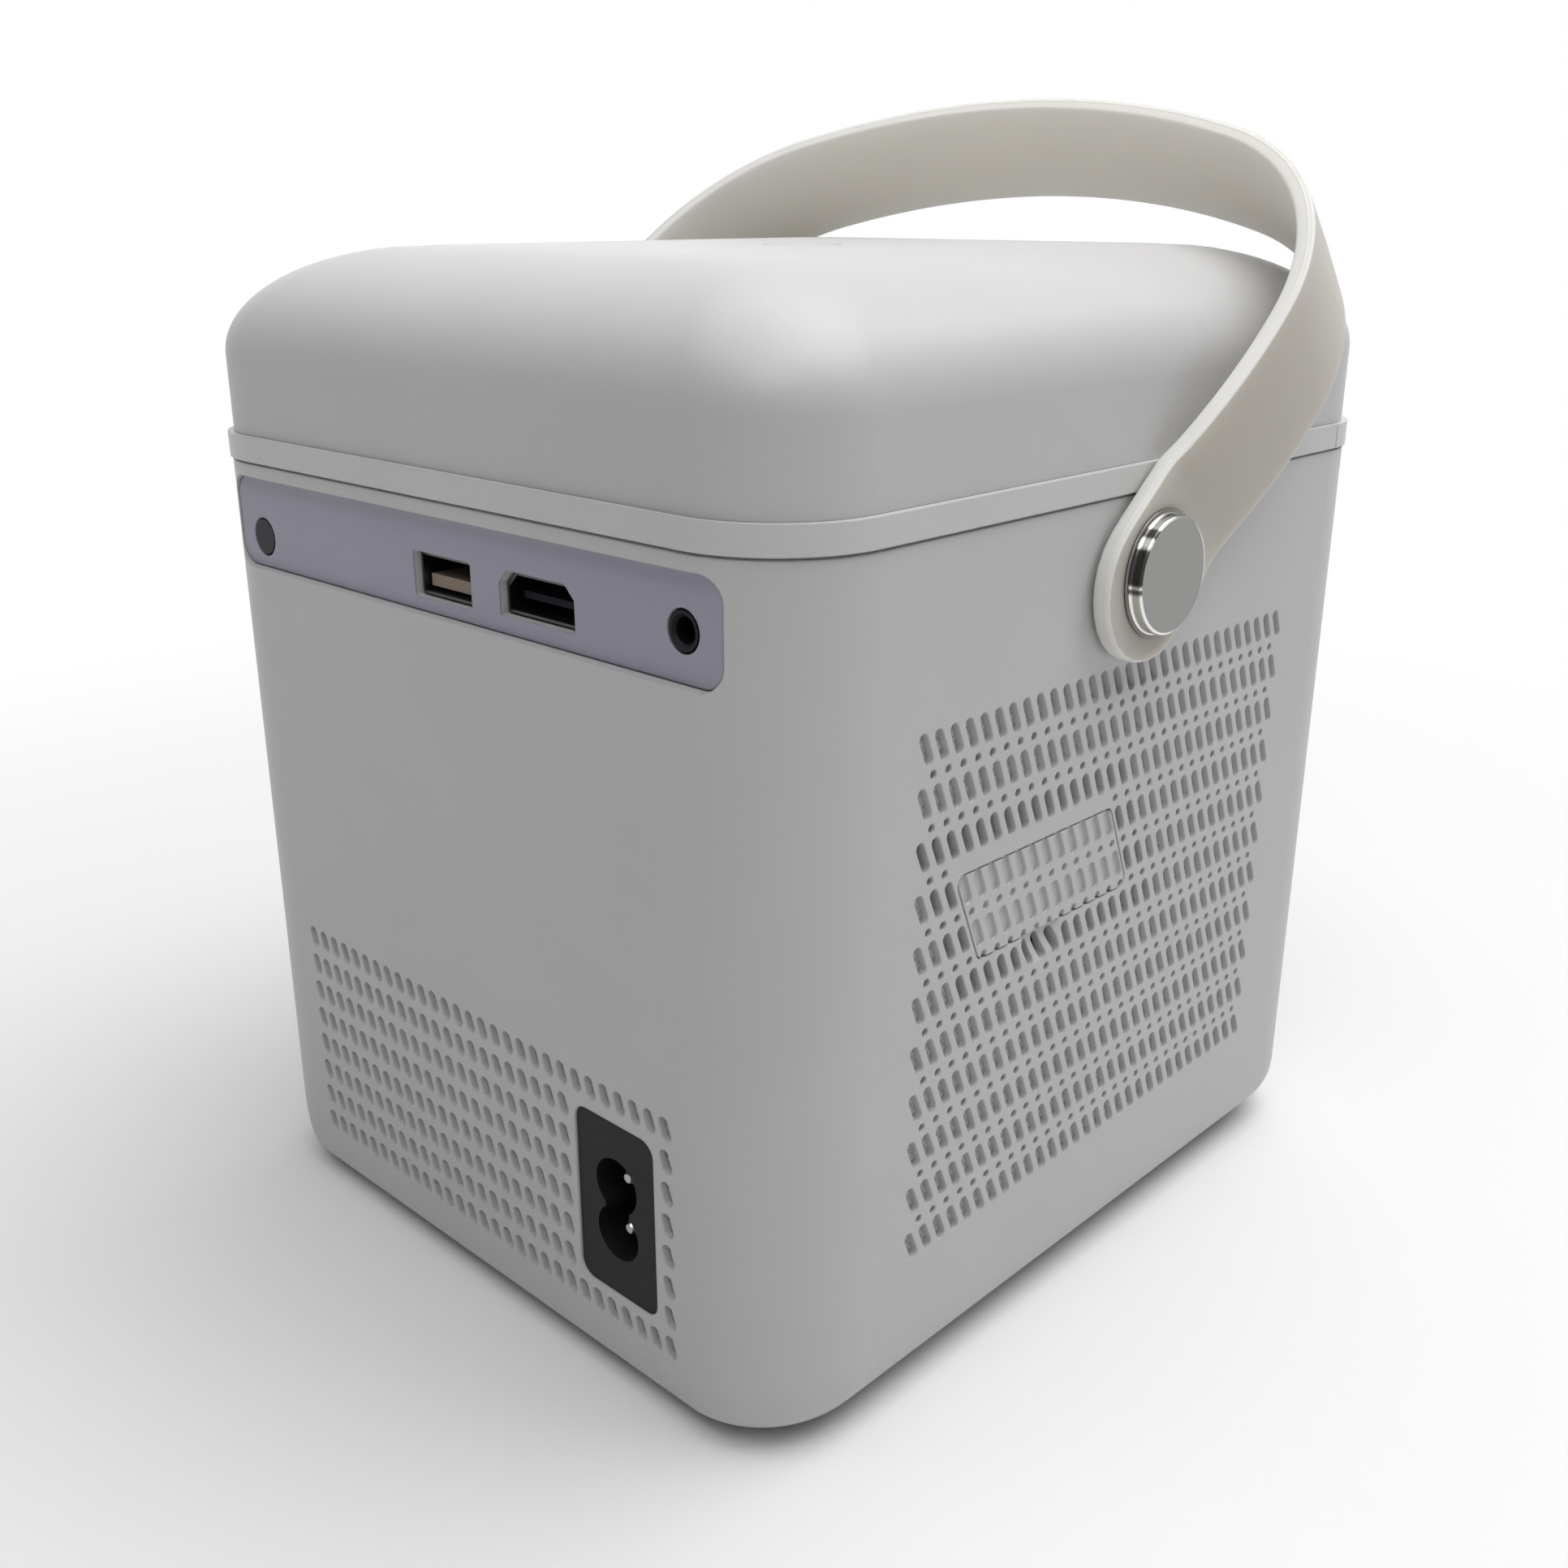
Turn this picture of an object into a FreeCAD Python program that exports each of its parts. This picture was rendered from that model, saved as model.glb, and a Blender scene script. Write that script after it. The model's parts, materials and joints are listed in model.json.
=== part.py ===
import FreeCAD, Part
import math
import os
import re
import Sketcher

Vector = FreeCAD.Vector
Rotation = FreeCAD.Rotation

# Driving dimensions in millimetres. +Z is up, the lens looks along -Y, the sockets face +Y,
# and the origin lies on the table under the middle of the body.
SIZES = {
    # casing
    "body_width": 134,
    "body_depth": 149,
    "corner_radius": 16.6,
    "foot_height": 2,
    "seam_height": 129.9,
    "band_height": 3.9,
    "band_proud": 0.4,
    "band_wall": 3,
    "top_height": 162,
    "shell_inset": 0.6,
    "wall": 2.4,
    "floor_thick": 3.4,
    "side_round": 9.6,
    "rear_round": 4,
    "dome_rise": 16.4,
    "dome_reach": 26,
    "gap": 0.3,
    "cover_width": 106,
    "cover_depth": 106,
    "cover_thick": 1.6,
    "cover_ledge": 6,
    "joint_line": 58.4,
    # front
    "fascia_width": 96,
    "fascia_height": 102,
    "fascia_radius": 12,
    "lens_height": 72,
    "lens_hole": 24.4,
    # disc slot
    "disc_height": 131.85,
    "slot_width": 124,
    "slot_height": 2.6,
    # rear sockets
    "panel_width": 112.8,
    "panel_height": 14.6,
    "panel_middle": 120.1,
    "panel_face": 73.2,
    "socket_inset": 1.2,
    "board_top": 115.2,
    # mains inlet
    "inlet_x": -33.6,
    "inlet_z": 30.6,
    "inlet_width": 17.1,
    "inlet_height": 29.4,
    "pin_spacing": 8.6,
    "pin_radius": 1.2,
    # vents
    "rear_pitch": 3.2,
    "rear_row": 5.18,
    "rear_first": 49,
    "side_pitch": 3.18,
    "side_row": 7.507,
    "side_start": 47.7,
    "side_first": 102.4,
    "thin_wall": 1.2,
    "cloth_thick": 0.4,
    # filter door
    "door_top": 82.4,
    "door_bottom": 67.9,
    "door_rear": 40.8,
    "door_length": 38.2,
    "door_thick": 1.2,
    "door_radius": 1.6,
    "groove_depth": 0.5,
    # strap handle
    "pivot_height": 118.35,
    "strap_lean": 47,
    "strap_width": 20.5,
    "strap_thick": 3,
    "strap_gap": 0.7,
    "strap_crest": 88.7,
    "strap_half": 74.8,
    "strap_end": 11.3,
    "pin_bore": 3,
    "cap_radius": 9.45,
    "cap_thick": 2.2,
    # disc drive
    "deck_height": 123,
    "deck_thick": 1.2,
    "roller_y": -65.5,
    "roller_z": 128,
    "roller_radius": 3.2,
    "rod_spread": 18,
    "rod_height": 126,
    "screw_x": 24.5,
    "gear_x": 56,
    "gear_thick": 1.8,
}

doc = FreeCAD.newDocument("Projector")
sheet = doc.addObject("Spreadsheet::Sheet", "Sizes")
for row, (word, number) in enumerate(SIZES.items(), start=1):
    sheet.set("A%d" % row, word)
    sheet.set("B%d" % row, str(number))
    sheet.setAlias("B%d" % row, word)
# a sheet of its own for working out formulas, so that asking for a size never touches the sizes
worked = doc.addObject("Spreadsheet::Sheet", "Worked")
doc.recompute()

nodes = []


def value(text):
    """The number that a formula over the sheet's words works out to."""
    worked.set("A1", "=" + formula(text))
    worked.recompute()
    return float(worked.get("A1"))


def formula(text):
    """The same formula with its words written for setExpression."""
    return re.sub(r"[a-z][a-z_]*", lambda found: in_sheet(found.group(0)), str(text))


def in_sheet(word):
    return "Sizes." + word if word in SIZES else word


def node(label, thing):
    """Names a finished sub-part and puts it on the list that is written out."""
    thing.Label = label
    nodes.append(thing)
    return thing


def spot(thing, x, y, z, turn=Rotation()):
    thing.Placement = FreeCAD.Placement(Vector(0, 0, 0), turn)
    thing.setExpression("Placement.Base.x", formula(x))
    thing.setExpression("Placement.Base.y", formula(y))
    thing.setExpression("Placement.Base.z", formula(z))
    return thing


TURNS = {
    "x": Rotation(Vector(0, 1, 0), 90),
    "-x": Rotation(Vector(0, 1, 0), -90),
    "y": Rotation(Vector(1, 0, 0), -90),
    "-y": Rotation(Vector(1, 0, 0), 90),
    "z": Rotation(),
    "-z": Rotation(Vector(1, 0, 0), 180),
}


def block(size, middle):
    """A box of the given size about its middle."""
    thing = doc.addObject("Part::Box", "block")
    for name, length in zip(("Length", "Width", "Height"), size):
        thing.setExpression(name, formula(length))
    corner = ["(%s) - (%s) / 2" % pair for pair in zip(middle, size)]
    return spot(thing, *corner)


def rod(radius, length, start, along="z"):
    thing = doc.addObject("Part::Cylinder", "rod")
    thing.setExpression("Radius", formula(radius))
    thing.setExpression("Height", formula(length))
    return spot(thing, *start, turn=TURNS[along])


def taper(radius, end_radius, length, start, along="z"):
    thing = doc.addObject("Part::Cone", "taper")
    thing.setExpression("Radius1", formula(radius))
    thing.setExpression("Radius2", formula(end_radius))
    thing.setExpression("Height", formula(length))
    return spot(thing, *start, turn=TURNS[along])


def ball(radius, middle):
    thing = doc.addObject("Part::Sphere", "ball")
    thing.setExpression("Radius", formula(radius))
    return spot(thing, *middle)


def bundle(things):
    """Separate solids held in one object."""
    thing = doc.addObject("Part::Compound", "bundle")
    thing.Links = list(things)
    return thing


def join(*things):
    thing = doc.addObject("Part::MultiFuse", "join")
    thing.Shapes = list(things)
    thing.Refine = True
    return thing


def cut(base, *tools):
    thing = doc.addObject("Part::Cut", "cut")
    thing.Base = base
    thing.Tool = tools[0] if len(tools) == 1 else bundle(tools)
    return thing


def common(base, tool):
    thing = doc.addObject("Part::Common", "common")
    thing.Base = base
    thing.Tool = tool
    return thing


def mirrored(source):
    """The same piece on the other side of the body."""
    thing = doc.addObject("Part::Mirroring", "mirrored")
    thing.Source = source
    thing.Normal = Vector(1, 0, 0)
    return thing


def tube(radius, bore, length, start, along="z"):
    return cut(rod(radius, length, start, along), rod(bore, length, start, along))


def shaped(shape):
    """A piece whose outline neither a primitive nor a sketch feature gives."""
    thing = doc.addObject("Part::Feature", "shaped")
    thing.Shape = shape
    return thing


def rounded(base, radius, chosen):
    """Rounds the edges that the chosen test picks."""
    doc.recompute()
    amount = value(radius)
    thing = doc.addObject("Part::Fillet", "rounded")
    thing.Base = base
    picked = [number for number, edge in enumerate(base.Shape.Edges, start=1) if chosen(edge)]
    thing.Edges = [(number, amount, amount) for number in picked]
    return thing


def runs_along(axis):
    """A test for straight edges that run along one axis."""
    def chosen(edge):
        if edge.Curve.TypeId != "Part::GeomLine":
            return False
        way = edge.Curve.Direction
        return abs(abs(getattr(way, axis)) - 1) < 1e-6
    return chosen


def lies_at_height(text):
    """A test for edges that lie flat at one height."""
    height = value(text)

    def chosen(edge):
        return abs(edge.BoundBox.ZMin - height) < 1e-4 and abs(edge.BoundBox.ZMax - height) < 1e-4
    return chosen


def rounded_block(size, middle, radius, axis="z"):
    return rounded(block(size, middle), radius, runs_along(axis))


def prism(points, sweep):
    """A solid made by sweeping a flat outline with straight sides."""
    corners = [Vector(*point) for point in points]
    return Part.Face(Part.makePolygon(corners + corners[:1])).extrude(Vector(*sweep))


def origin_plane(body, role):
    return next(plane for plane in body.Origin.OriginFeatures if plane.Role == role)


def padded_circle(radius, length, place, turn, bore=None):
    """A PartDesign disc or ring: a sketch of one or two circles, padded."""
    body = doc.addObject("PartDesign::Body", "disc")
    sketch = body.newObject("Sketcher::SketchObject", "disc_sketch")
    sketch.AttachmentSupport = (origin_plane(body, "XY_Plane"), [""])
    sketch.MapMode = "FlatFace"
    for text in (radius, bore):
        if text is None:
            continue
        number = sketch.addGeometry(Part.Circle(Vector(0, 0, 0), Vector(0, 0, 1), value(text)))
        sketch.addConstraint(Sketcher.Constraint("Coincident", number, 3, -1, 1))
        rule = sketch.addConstraint(Sketcher.Constraint("Radius", number, value(text)))
        sketch.setExpression("Constraints[%d]" % rule, formula(text))
    pad = body.newObject("PartDesign::Pad", "disc_pad")
    pad.Profile = sketch
    pad.setExpression("Length", formula(length))
    sketch.Visibility = False
    spot(body, *place, turn=TURNS[turn])
    return body


def bevelled(body, edge_names, amount):
    """A chamfer on a PartDesign body's last feature."""
    last = body.Tip
    chamfer = body.newObject("PartDesign::Chamfer", "bevel")
    chamfer.Base = (last, edge_names)
    chamfer.setExpression("Size", formula(amount))
    body.Tip = chamfer
    return body


def far_rim(body):
    """Name of the outer round edge on a padded disc's far face."""
    doc.recompute()
    edges = body.Tip.Shape.Edges
    rims = [(edge.CenterOfMass.z, edge.Length, number) for number, edge in enumerate(edges, start=1)
            if edge.Curve.TypeId == "Part::GeomCircle"]
    return ["Edge%d" % max(rims)[2]]


# Casing

def upright_prism(inset, bottom, top):
    """The body's plan outline, drawn in by an inset and raised between two heights."""
    size = ("body_width - 2 * (%s)" % inset, "body_depth - 2 * (%s)" % inset, "(%s) - (%s)" % (top, bottom))
    middle = (0, 0, "((%s) + (%s)) / 2" % (top, bottom))
    return rounded_block(size, middle, "corner_radius - (%s)" % inset)


def ring_wire(side, front, rear, radius, height):
    """The body's plan outline with each side drawn in by its own inset, at one height."""
    x = value("body_width") / 2 - side
    low = -value("body_depth") / 2 + front
    high = value("body_depth") / 2 - rear
    middle = radius * (1 - math.sqrt(0.5))
    corners = [(x, high), (-x, high), (-x, low), (x, low)]
    edges = []
    for number, (cx, cy) in enumerate(corners):
        sx = math.copysign(1, cx)
        sy = math.copysign(1, cy)
        on_side = Vector(cx, cy - sy * radius, height)
        on_end = Vector(cx - sx * radius, cy, height)
        between = Vector(cx - sx * middle, cy - sy * middle, height)
        first, last = (on_side, on_end) if number % 2 == 0 else (on_end, on_side)
        if edges:
            edges.append(Part.LineSegment(edges[-1].Vertexes[-1].Point, first).toShape())
        edges.append(Part.Arc(first, between, last).toShape())
    edges.append(Part.LineSegment(edges[-1].Vertexes[-1].Point, edges[0].Vertexes[0].Point).toShape())
    return Part.Wire(edges)


def rounding(radius, rise):
    """How far an edge rounding has drawn in at a height above its foot."""
    if rise >= radius:
        return 0
    return radius - math.sqrt(radius * radius - (radius - rise) ** 2)


def casing_body():
    """The closed outside of the housing: its lower rim is wide at the sides and front, tight at the rear."""
    wide = value("side_round")
    tight = value("rear_round")
    radius = value("corner_radius")
    floor = value("foot_height")
    steps = 10
    wires = []
    for step in range(steps + 1):
        rise = wide * (1 - math.cos(math.radians(90 * step / steps)))
        side = rounding(wide, rise)
        wires.append(ring_wire(side, side, rounding(tight, rise), radius - 0.5 * side, floor + rise))
    rim = Part.makeLoft(wires, True, False)
    straight = Part.Face(wires[-1]).extrude(Vector(0, 0, value("seam_height") - floor - wide))
    return shaped(rim.fuse(straight))


def slit(width, height, lean, face):
    """One vent slit: a leaning slot with round ends, cut straight through a wall.

    face is "side" for the -X wall, with the lower end nearer the lens, or "rear" for the +Y wall.
    """
    angle = math.radians(lean)
    reach = (height - width) / 2 / math.cos(angle)
    down = (-math.sin(angle), -math.cos(angle))
    across = (math.cos(angle), -math.sin(angle))

    def point(run, offset):
        first = down[0] * run + across[0] * offset
        second = down[1] * run + across[1] * offset
        return Vector(0, first, second) if face == "side" else Vector(-first, 0, second)

    half = width / 2
    edges = [
        Part.LineSegment(point(-reach, half), point(reach, half)).toShape(),
        Part.Arc(point(reach, half), point(reach + half, 0), point(reach, -half)).toShape(),
        Part.LineSegment(point(reach, -half), point(-reach, -half)).toShape(),
        Part.Arc(point(-reach, -half), point(-reach - half, 0), point(-reach, half)).toShape(),
    ]
    depth = Vector(10, 0, 0) if face == "side" else Vector(0, 10, 0)
    return Part.Face(Part.Wire(edges)).extrude(depth)


SIDE_COLUMNS = 30
SIDE_ROWS = 11
REAR_COLUMNS = 29
REAR_ROWS = 8
DOOR_SLITS = {3: range(3, 15), 4: range(4, 16)}


def side_place(column, row):
    y = value("side_start") - value("side_pitch") * column
    z = value("side_first") - value("side_row") * row
    return y, z


def side_lean():
    return math.degrees(math.atan(value("side_pitch / side_row")))


def side_vents(width, chosen_slits, chosen_dots, start_x):
    """Vent slits with a small round hole between each four, for the wall at -X."""
    shapes = []
    pattern = slit(width, 4.6, side_lean(), "side")
    for row in range(SIDE_ROWS):
        for column in range(SIDE_COLUMNS):
            if chosen_slits(column, row):
                y, z = side_place(column, row)
                shapes.append(pattern.translated(Vector(start_x, y, z)))
    for row in range(SIDE_ROWS - 1):
        for column in range(SIDE_COLUMNS - 1):
            if chosen_dots(column, row):
                y, z = side_place(column + 0.5, row + 0.5)
                shapes.append(Part.makeCylinder(0.38 * width, 10, Vector(start_x, y, z), Vector(1, 0, 0)))
    return Part.makeCompound(shapes)


def behind_door(column, row):
    return column in DOOR_SLITS.get(row, ())


def dot_behind_door(column, row):
    return behind_door(column, row) or behind_door(column + 1, row + 1)


def rear_vents():
    """Slits of the rear vent, with a window left out around the mains inlet."""
    shapes = []
    pattern = slit(1.9, 3.6, -18, "rear")
    for row in range(REAR_ROWS):
        for column in range(REAR_COLUMNS):
            if 22 <= column <= 27 and 1 <= row <= 6:
                continue
            x = value("rear_pitch") * ((REAR_COLUMNS - 1) / 2 - column)
            z = value("rear_first") - value("rear_row") * row
            shapes.append(pattern.translated(Vector(x, 68, z)))
    return Part.makeCompound(shapes)


def door_outline(inset, start_x, depth, radius=0):
    """The slanted outline of the filter door, drawn in by an inset, as a plate at -X."""
    slope = value("side_pitch / side_row")
    top = value("door_top") - inset
    bottom = value("door_bottom") + inset
    side_inset = inset * math.sqrt(1 + slope * slope)
    rear = value("door_rear") - side_inset
    front = value("door_rear - door_length") + side_inset

    def corner(y, z):
        return (start_x, y - slope * (value("door_top") - z), z)

    points = [corner(rear, top), corner(front, top), corner(front, bottom), corner(rear, bottom)]
    plate = prism(points, (depth, 0, 0))
    if radius:
        plate = plate.makeFillet(radius, [edge for edge in plate.Edges if runs_along("x")(edge)])
    return plate


# fields of slits: the two side walls' and the rear wall's
GRILLE = {"length": 103, "height": 86, "y": 1.6, "z": 64.9}
REAR_GRILLE = {"width": 100, "height": 46, "z": 30.9}
# how much smaller a cloth is than its field: a 2 mm rim all round and 0.3 mm to spare
CLOTH_TRIM = 4.6
COVER_SCREWS = [(x, y) for x in (-50, 50) for y in (-36, 36)]
DECK_SCREWS = [(x, y) for x in (-62.7, 62.7) for y in (-28, 30)]


def main_housing():
    outer = casing_body()
    hollow = upright_prism("wall", "foot_height + floor_thick", "seam_height + 5")
    hollow = rounded(hollow, 7, lies_at_height("foot_height + floor_thick"))
    front_opening = rounded_block(
        ("fascia_width", 20, "fascia_height"),
        (0, "-body_depth / 2", "lens_height - 6"), "fascia_radius", "y")
    panel_opening = rounded_block(
        ("panel_width", 20, "panel_height"), (0, "body_depth / 2", "panel_middle"), 3.5, "y")
    cover_recess = rounded_block(
        ("cover_width", "cover_depth", "cover_thick"), (0, 0, "foot_height + cover_thick / 2"), 10)
    cover_opening = rounded_block(
        ("cover_width - 2 * cover_ledge", "cover_depth - 2 * cover_ledge", 20), (0, 0, "foot_height"), 6)
    bush_hole = rod(6, "body_width + 10", ("-body_width / 2 - 5", 0, "pivot_height"), "x")
    # the inner edge of the rim stands 0.4 mm proud, so that the seam shows as a thin dark line
    seam_groove = cut(upright_prism("-5", "seam_height - 0.4", "seam_height + 1"),
                      upright_prism("0.6", "seam_height - 1", "seam_height + 2"))
    windows = [block((20, GRILLE["length"], GRILLE["height"]), (side, GRILLE["y"], GRILLE["z"]))
               for side in ("-body_width / 2", "body_width / 2")]
    windows.append(block((REAR_GRILLE["width"], 20, REAR_GRILLE["height"]),
                         (0, "body_depth / 2", REAR_GRILLE["z"])))
    screw_holes = [rod(1.3, 8, (x, y, "foot_height")) for x, y in COVER_SCREWS]
    ledges = []
    for side in (-1, 1):
        for y in (-28, 30):
            ledges.append(block((4, 18, 4), (side * 62.9, y, "deck_height - 2")))
        for y in (18, 48):
            ledges.append(block((10, 8, 3), (side * 60, y, "board_top - 3.1")))
    deck_holes = [rod(1.1, 4, (x, y, "deck_height - 4")) for x, y in DECK_SCREWS]
    walls = cut(outer, hollow)
    shell = join(walls, *ledges)
    return cut(shell, front_opening, panel_opening, cover_recess, cover_opening, bush_hole,
               seam_groove, *windows, *screw_holes, *deck_holes)


def side_grille(with_door):
    """Slitted field of the -X wall, flush outside and thinned behind; the door sits in it."""
    outer_face = -value("body_width / 2")
    slab = block(("wall", GRILLE["length"], GRILLE["height"]),
                 ("-body_width / 2 + wall / 2", GRILLE["y"], GRILLE["z"]))
    pocket = block(("wall - thin_wall", GRILLE["length"] - 4, GRILLE["height"] - 4),
                   ("-body_width / 2 + (wall + thin_wall) / 2", GRILLE["y"], GRILLE["z"]))
    if not with_door:
        vents = shaped(side_vents(1.7, lambda c, r: True, lambda c, r: True, outer_face - 3))
        return mirrored(cut(slab, pocket, vents))
    pocket = cut(pocket, shaped(door_outline(-6, outer_face, 6)))
    vents = shaped(side_vents(
        1.7, lambda c, r: not behind_door(c, r), lambda c, r: not dot_behind_door(c, r), outer_face - 3))
    recess = shaped(door_outline(0, outer_face - 1, 1 + value("door_thick + gap"), value("door_radius")))
    window = shaped(door_outline(2, outer_face - 1, 6))
    finger_scoop = ball(12, ("-body_width / 2 - 10.8", 19.5, "door_bottom"))
    return cut(slab, pocket, vents, recess, window, finger_scoop)


def rear_grille():
    """Slitted field of the rear wall, with the opening for the mains inlet."""
    slab = block((REAR_GRILLE["width"], "wall", REAR_GRILLE["height"]),
                 (0, "body_depth / 2 - wall / 2", REAR_GRILLE["z"]))
    pocket = block((REAR_GRILLE["width"] - 4, "wall - thin_wall", REAR_GRILLE["height"] - 4),
                   (0, "body_depth / 2 - (wall + thin_wall) / 2", REAR_GRILLE["z"]))
    pocket = cut(pocket, block((20, 20, "inlet_height + 2.6"), ("inlet_x", "body_depth / 2", "inlet_z")))
    inlet_opening = rounded_block(
        ("inlet_width", 20, "inlet_height"), ("inlet_x", "body_depth / 2", "inlet_z"), 2.6, "y")
    return cut(slab, pocket, inlet_opening, shaped(rear_vents()))


def bottom_cover():
    plate = rounded_block(("cover_width - 2 * gap", "cover_depth - 2 * gap", "cover_thick"),
                          (0, 0, "foot_height + cover_thick / 2"), 9.7)
    louvres = [rounded_block((56, 2.4, 10), (0, y, "foot_height"), 1.1) for y in range(-24, 25, 6)]
    heads = [rod(2.8, 2, (x, y, "foot_height - 1")) for x, y in COVER_SCREWS]
    shanks = [rod(1.4, 10, (x, y, "foot_height - 1")) for x, y in COVER_SCREWS]
    return cut(plate, *louvres, *heads, *shanks)


def rubber_feet():
    feet = []
    for x in (-36.5, 36.5):
        for y in (-59.4, 65.5):
            foot = padded_circle(4.8, "foot_height", (x, y, "foot_height"), "-z")
            feet.append(bevelled(foot, far_rim(foot), 0.5))
    return bundle(feet)


def screw_shape(head_radius, head, radius, length):
    """A pan-head screw with a cross recess, its head on the seat and its shank pointing down."""
    top = Part.makeCylinder(head_radius, head)
    shank = Part.makeCylinder(radius, length + 0.1, Vector(0, 0, -length))
    arm = head_radius * 1.1
    slots = [Part.makeBox(arm, 0.35 * head_radius, head, Vector(-arm / 2, -0.175 * head_radius, head * 0.45)),
             Part.makeBox(0.35 * head_radius, arm, head, Vector(-0.175 * head_radius, -arm / 2, head * 0.45))]
    return top.fuse(shank).cut(slots[0]).cut(slots[1]).removeSplitter()


def screws(shape, places, turn=Rotation()):
    """One size of screw at every place, as one group of separate solids."""
    group = []
    for place in places:
        one = shape.copy()
        one.Placement = FreeCAD.Placement(Vector(*place), turn)
        group.append(one)
    return shaped(Part.makeCompound(group))


def cover_screws():
    seat = value("foot_height + 1")
    places = [(x, y, seat) for x, y in COVER_SCREWS]
    return screws(screw_shape(2.5, 0.9, 1.2, 2.2), places, TURNS["-z"])


def band_ring():
    outer = upright_prism("-band_proud", "seam_height", "seam_height + band_height")
    inner = upright_prism("band_wall - band_proud", "seam_height - 1", "seam_height + band_height + 1")
    return cut(outer, inner)


def in_front():
    """Everything in front of the joint between the slot bezel and the band."""
    return block(("body_width + 20", 40, 20), (0, "-joint_line - 20", "seam_height"))


def trim_band():
    lips = [block((1.7, 80, 3.5), (side * 63.65, 0, "seam_height - 0.9")) for side in (-1, 1)]
    ring = join(band_ring(), *lips)
    return cut(ring, in_front(), block((140, 0.4, 20), (0, "-joint_line", "seam_height + 2")))


def slot_bezel():
    front = common(band_ring(), in_front())
    mouth = block(("slot_width", 30, "slot_height"), (0, "-body_depth / 2 + 4", "disc_height"))
    mouth = rounded(mouth, 1.1, runs_along("y"))
    return cut(front, mouth)


def slot_felt():
    """Two felt lips behind the slot; the disc slides between them."""
    strips = [block((94, 0.5, 1.1), (0, "-body_depth / 2 + band_wall - band_proud + 0.3", height))
              for height in ("disc_height - 1.3", "disc_height + 1.3")]
    return bundle(strips)


def dome(inset, bottom, top, rise, reach):
    """A straight wall that turns over a wide rounded shoulder into a flat top."""
    radius = value("corner_radius") - inset
    steps = 9
    wires = [ring_wire(inset, inset, inset, radius, bottom)]
    for step in range(steps + 1):
        angle = math.radians(90 * step / steps)
        draw_in = reach * (1 - math.cos(angle))
        height = top - rise + rise * math.sin(angle)
        side = inset + draw_in
        wires.append(ring_wire(side, side, side, max(radius - 0.35 * draw_in, 3), height))
    straight = Part.Face(wires[0]).extrude(Vector(0, 0, top - rise - bottom))
    return straight.fuse(Part.makeLoft(wires[1:], True, False))


BUTTON_POSTS = [(-17, 0), (17, 0)]


def top_shell():
    seat = value("seam_height + band_height")
    top = value("top_height")
    wall = value("wall")
    inset = value("shell_inset")
    rise = value("dome_rise")
    reach = value("dome_reach")
    outer = shaped(dome(inset, seat, top, rise, reach))
    inner = shaped(dome(inset + wall, seat - 1, top - wall, rise - wall, reach - wall))
    button_hole = rod(6.5, 20, (0, 0, top - 10))
    lips = [block((1.6, 76, 5), (side * 63.4, 0, "seam_height + band_height")) for side in (-1, 1)]
    posts = [rod(3, top - wall + 0.6 - 149.6, (x, y, 149.6)) for x, y in BUTTON_POSTS]
    holes = [rod(0.9, 6, (x, y, 149)) for x, y in BUTTON_POSTS]
    return cut(join(cut(outer, inner), *lips, *posts), button_hole, *holes)


def front_fascia():
    """The lens surround: a plate in the front opening with a wider flange behind the wall."""
    middle = "lens_height - 6"
    plate = rounded_block(("fascia_width - 0.4", 2.6, "fascia_height - 0.4"),
                          (0, "-body_depth / 2 + 1.6", middle), "fascia_radius - 0.2", "y")
    flange = rounded_block(("fascia_width + 5", 1.4, "fascia_height + 5"),
                           (0, "-body_depth / 2 + wall + 0.7", middle), 12, "y")
    collar = rod("lens_hole + 2.2", 5, (0, "-body_depth / 2 + wall - 0.5", "lens_height"), "y")
    hole = rod("lens_hole + 0.6", 30, (0, "-body_depth / 2 - 5", "lens_height"), "y")
    return cut(join(plate, flange, collar), hole)


# Rear sockets

USB = {"x": 0.7, "z": 118.25, "width": 13.1, "height": 6.1}
HDMI = {"x": -20.6, "z": 118.65, "width": 15.4, "height": 5.8}
JACK = {"x": -49.3, "z": 119.6}
EYE = {"x": 49.4, "z": 117.8}


def hdmi_outline(extra):
    """The flared mouth of the display socket, wide side down."""
    half = HDMI["width"] / 2 + extra
    low = HDMI["z"] - HDMI["height"] / 2 - extra
    high = HDMI["z"] + HDMI["height"] / 2 + extra
    slant = 1.9
    sides = [(-half, low), (half, low), (half, high - slant), (half - slant, high),
             (slant - half, high), (-half, high - slant)]
    return [(HDMI["x"] + x, 0, z) for x, z in sides]


def panel_hole(shape_at_origin, start):
    shape_at_origin.translate(Vector(0, start, 0))
    return shaped(shape_at_origin)


def port_panel():
    plate = rounded_block(("panel_width - 0.4", 2.6, "panel_height - 0.4"),
                          (0, "panel_face - 1.3", "panel_middle"), 3.3, "y")
    flange = rounded_block((107.2, 1, "panel_height + 2.6"), (0, "panel_face - 2.1", "panel_middle"), 3, "y")
    usb_hole = rounded_block((USB["width"] + 0.6, 10, USB["height"] + 0.6),
                             (USB["x"], "panel_face", USB["z"]), 0.5, "y")
    display_hole = panel_hole(prism(hdmi_outline(0.3), (0, 10, 0)), 67)
    jack_hole = rod(2.9, 10, (JACK["x"], 67, JACK["z"]), "y")
    eye_hole = rod(3.1, 10, (EYE["x"], 67, EYE["z"]), "y")
    return cut(join(plate, flange), usb_hole, display_hole, jack_hole, eye_hole)


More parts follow.
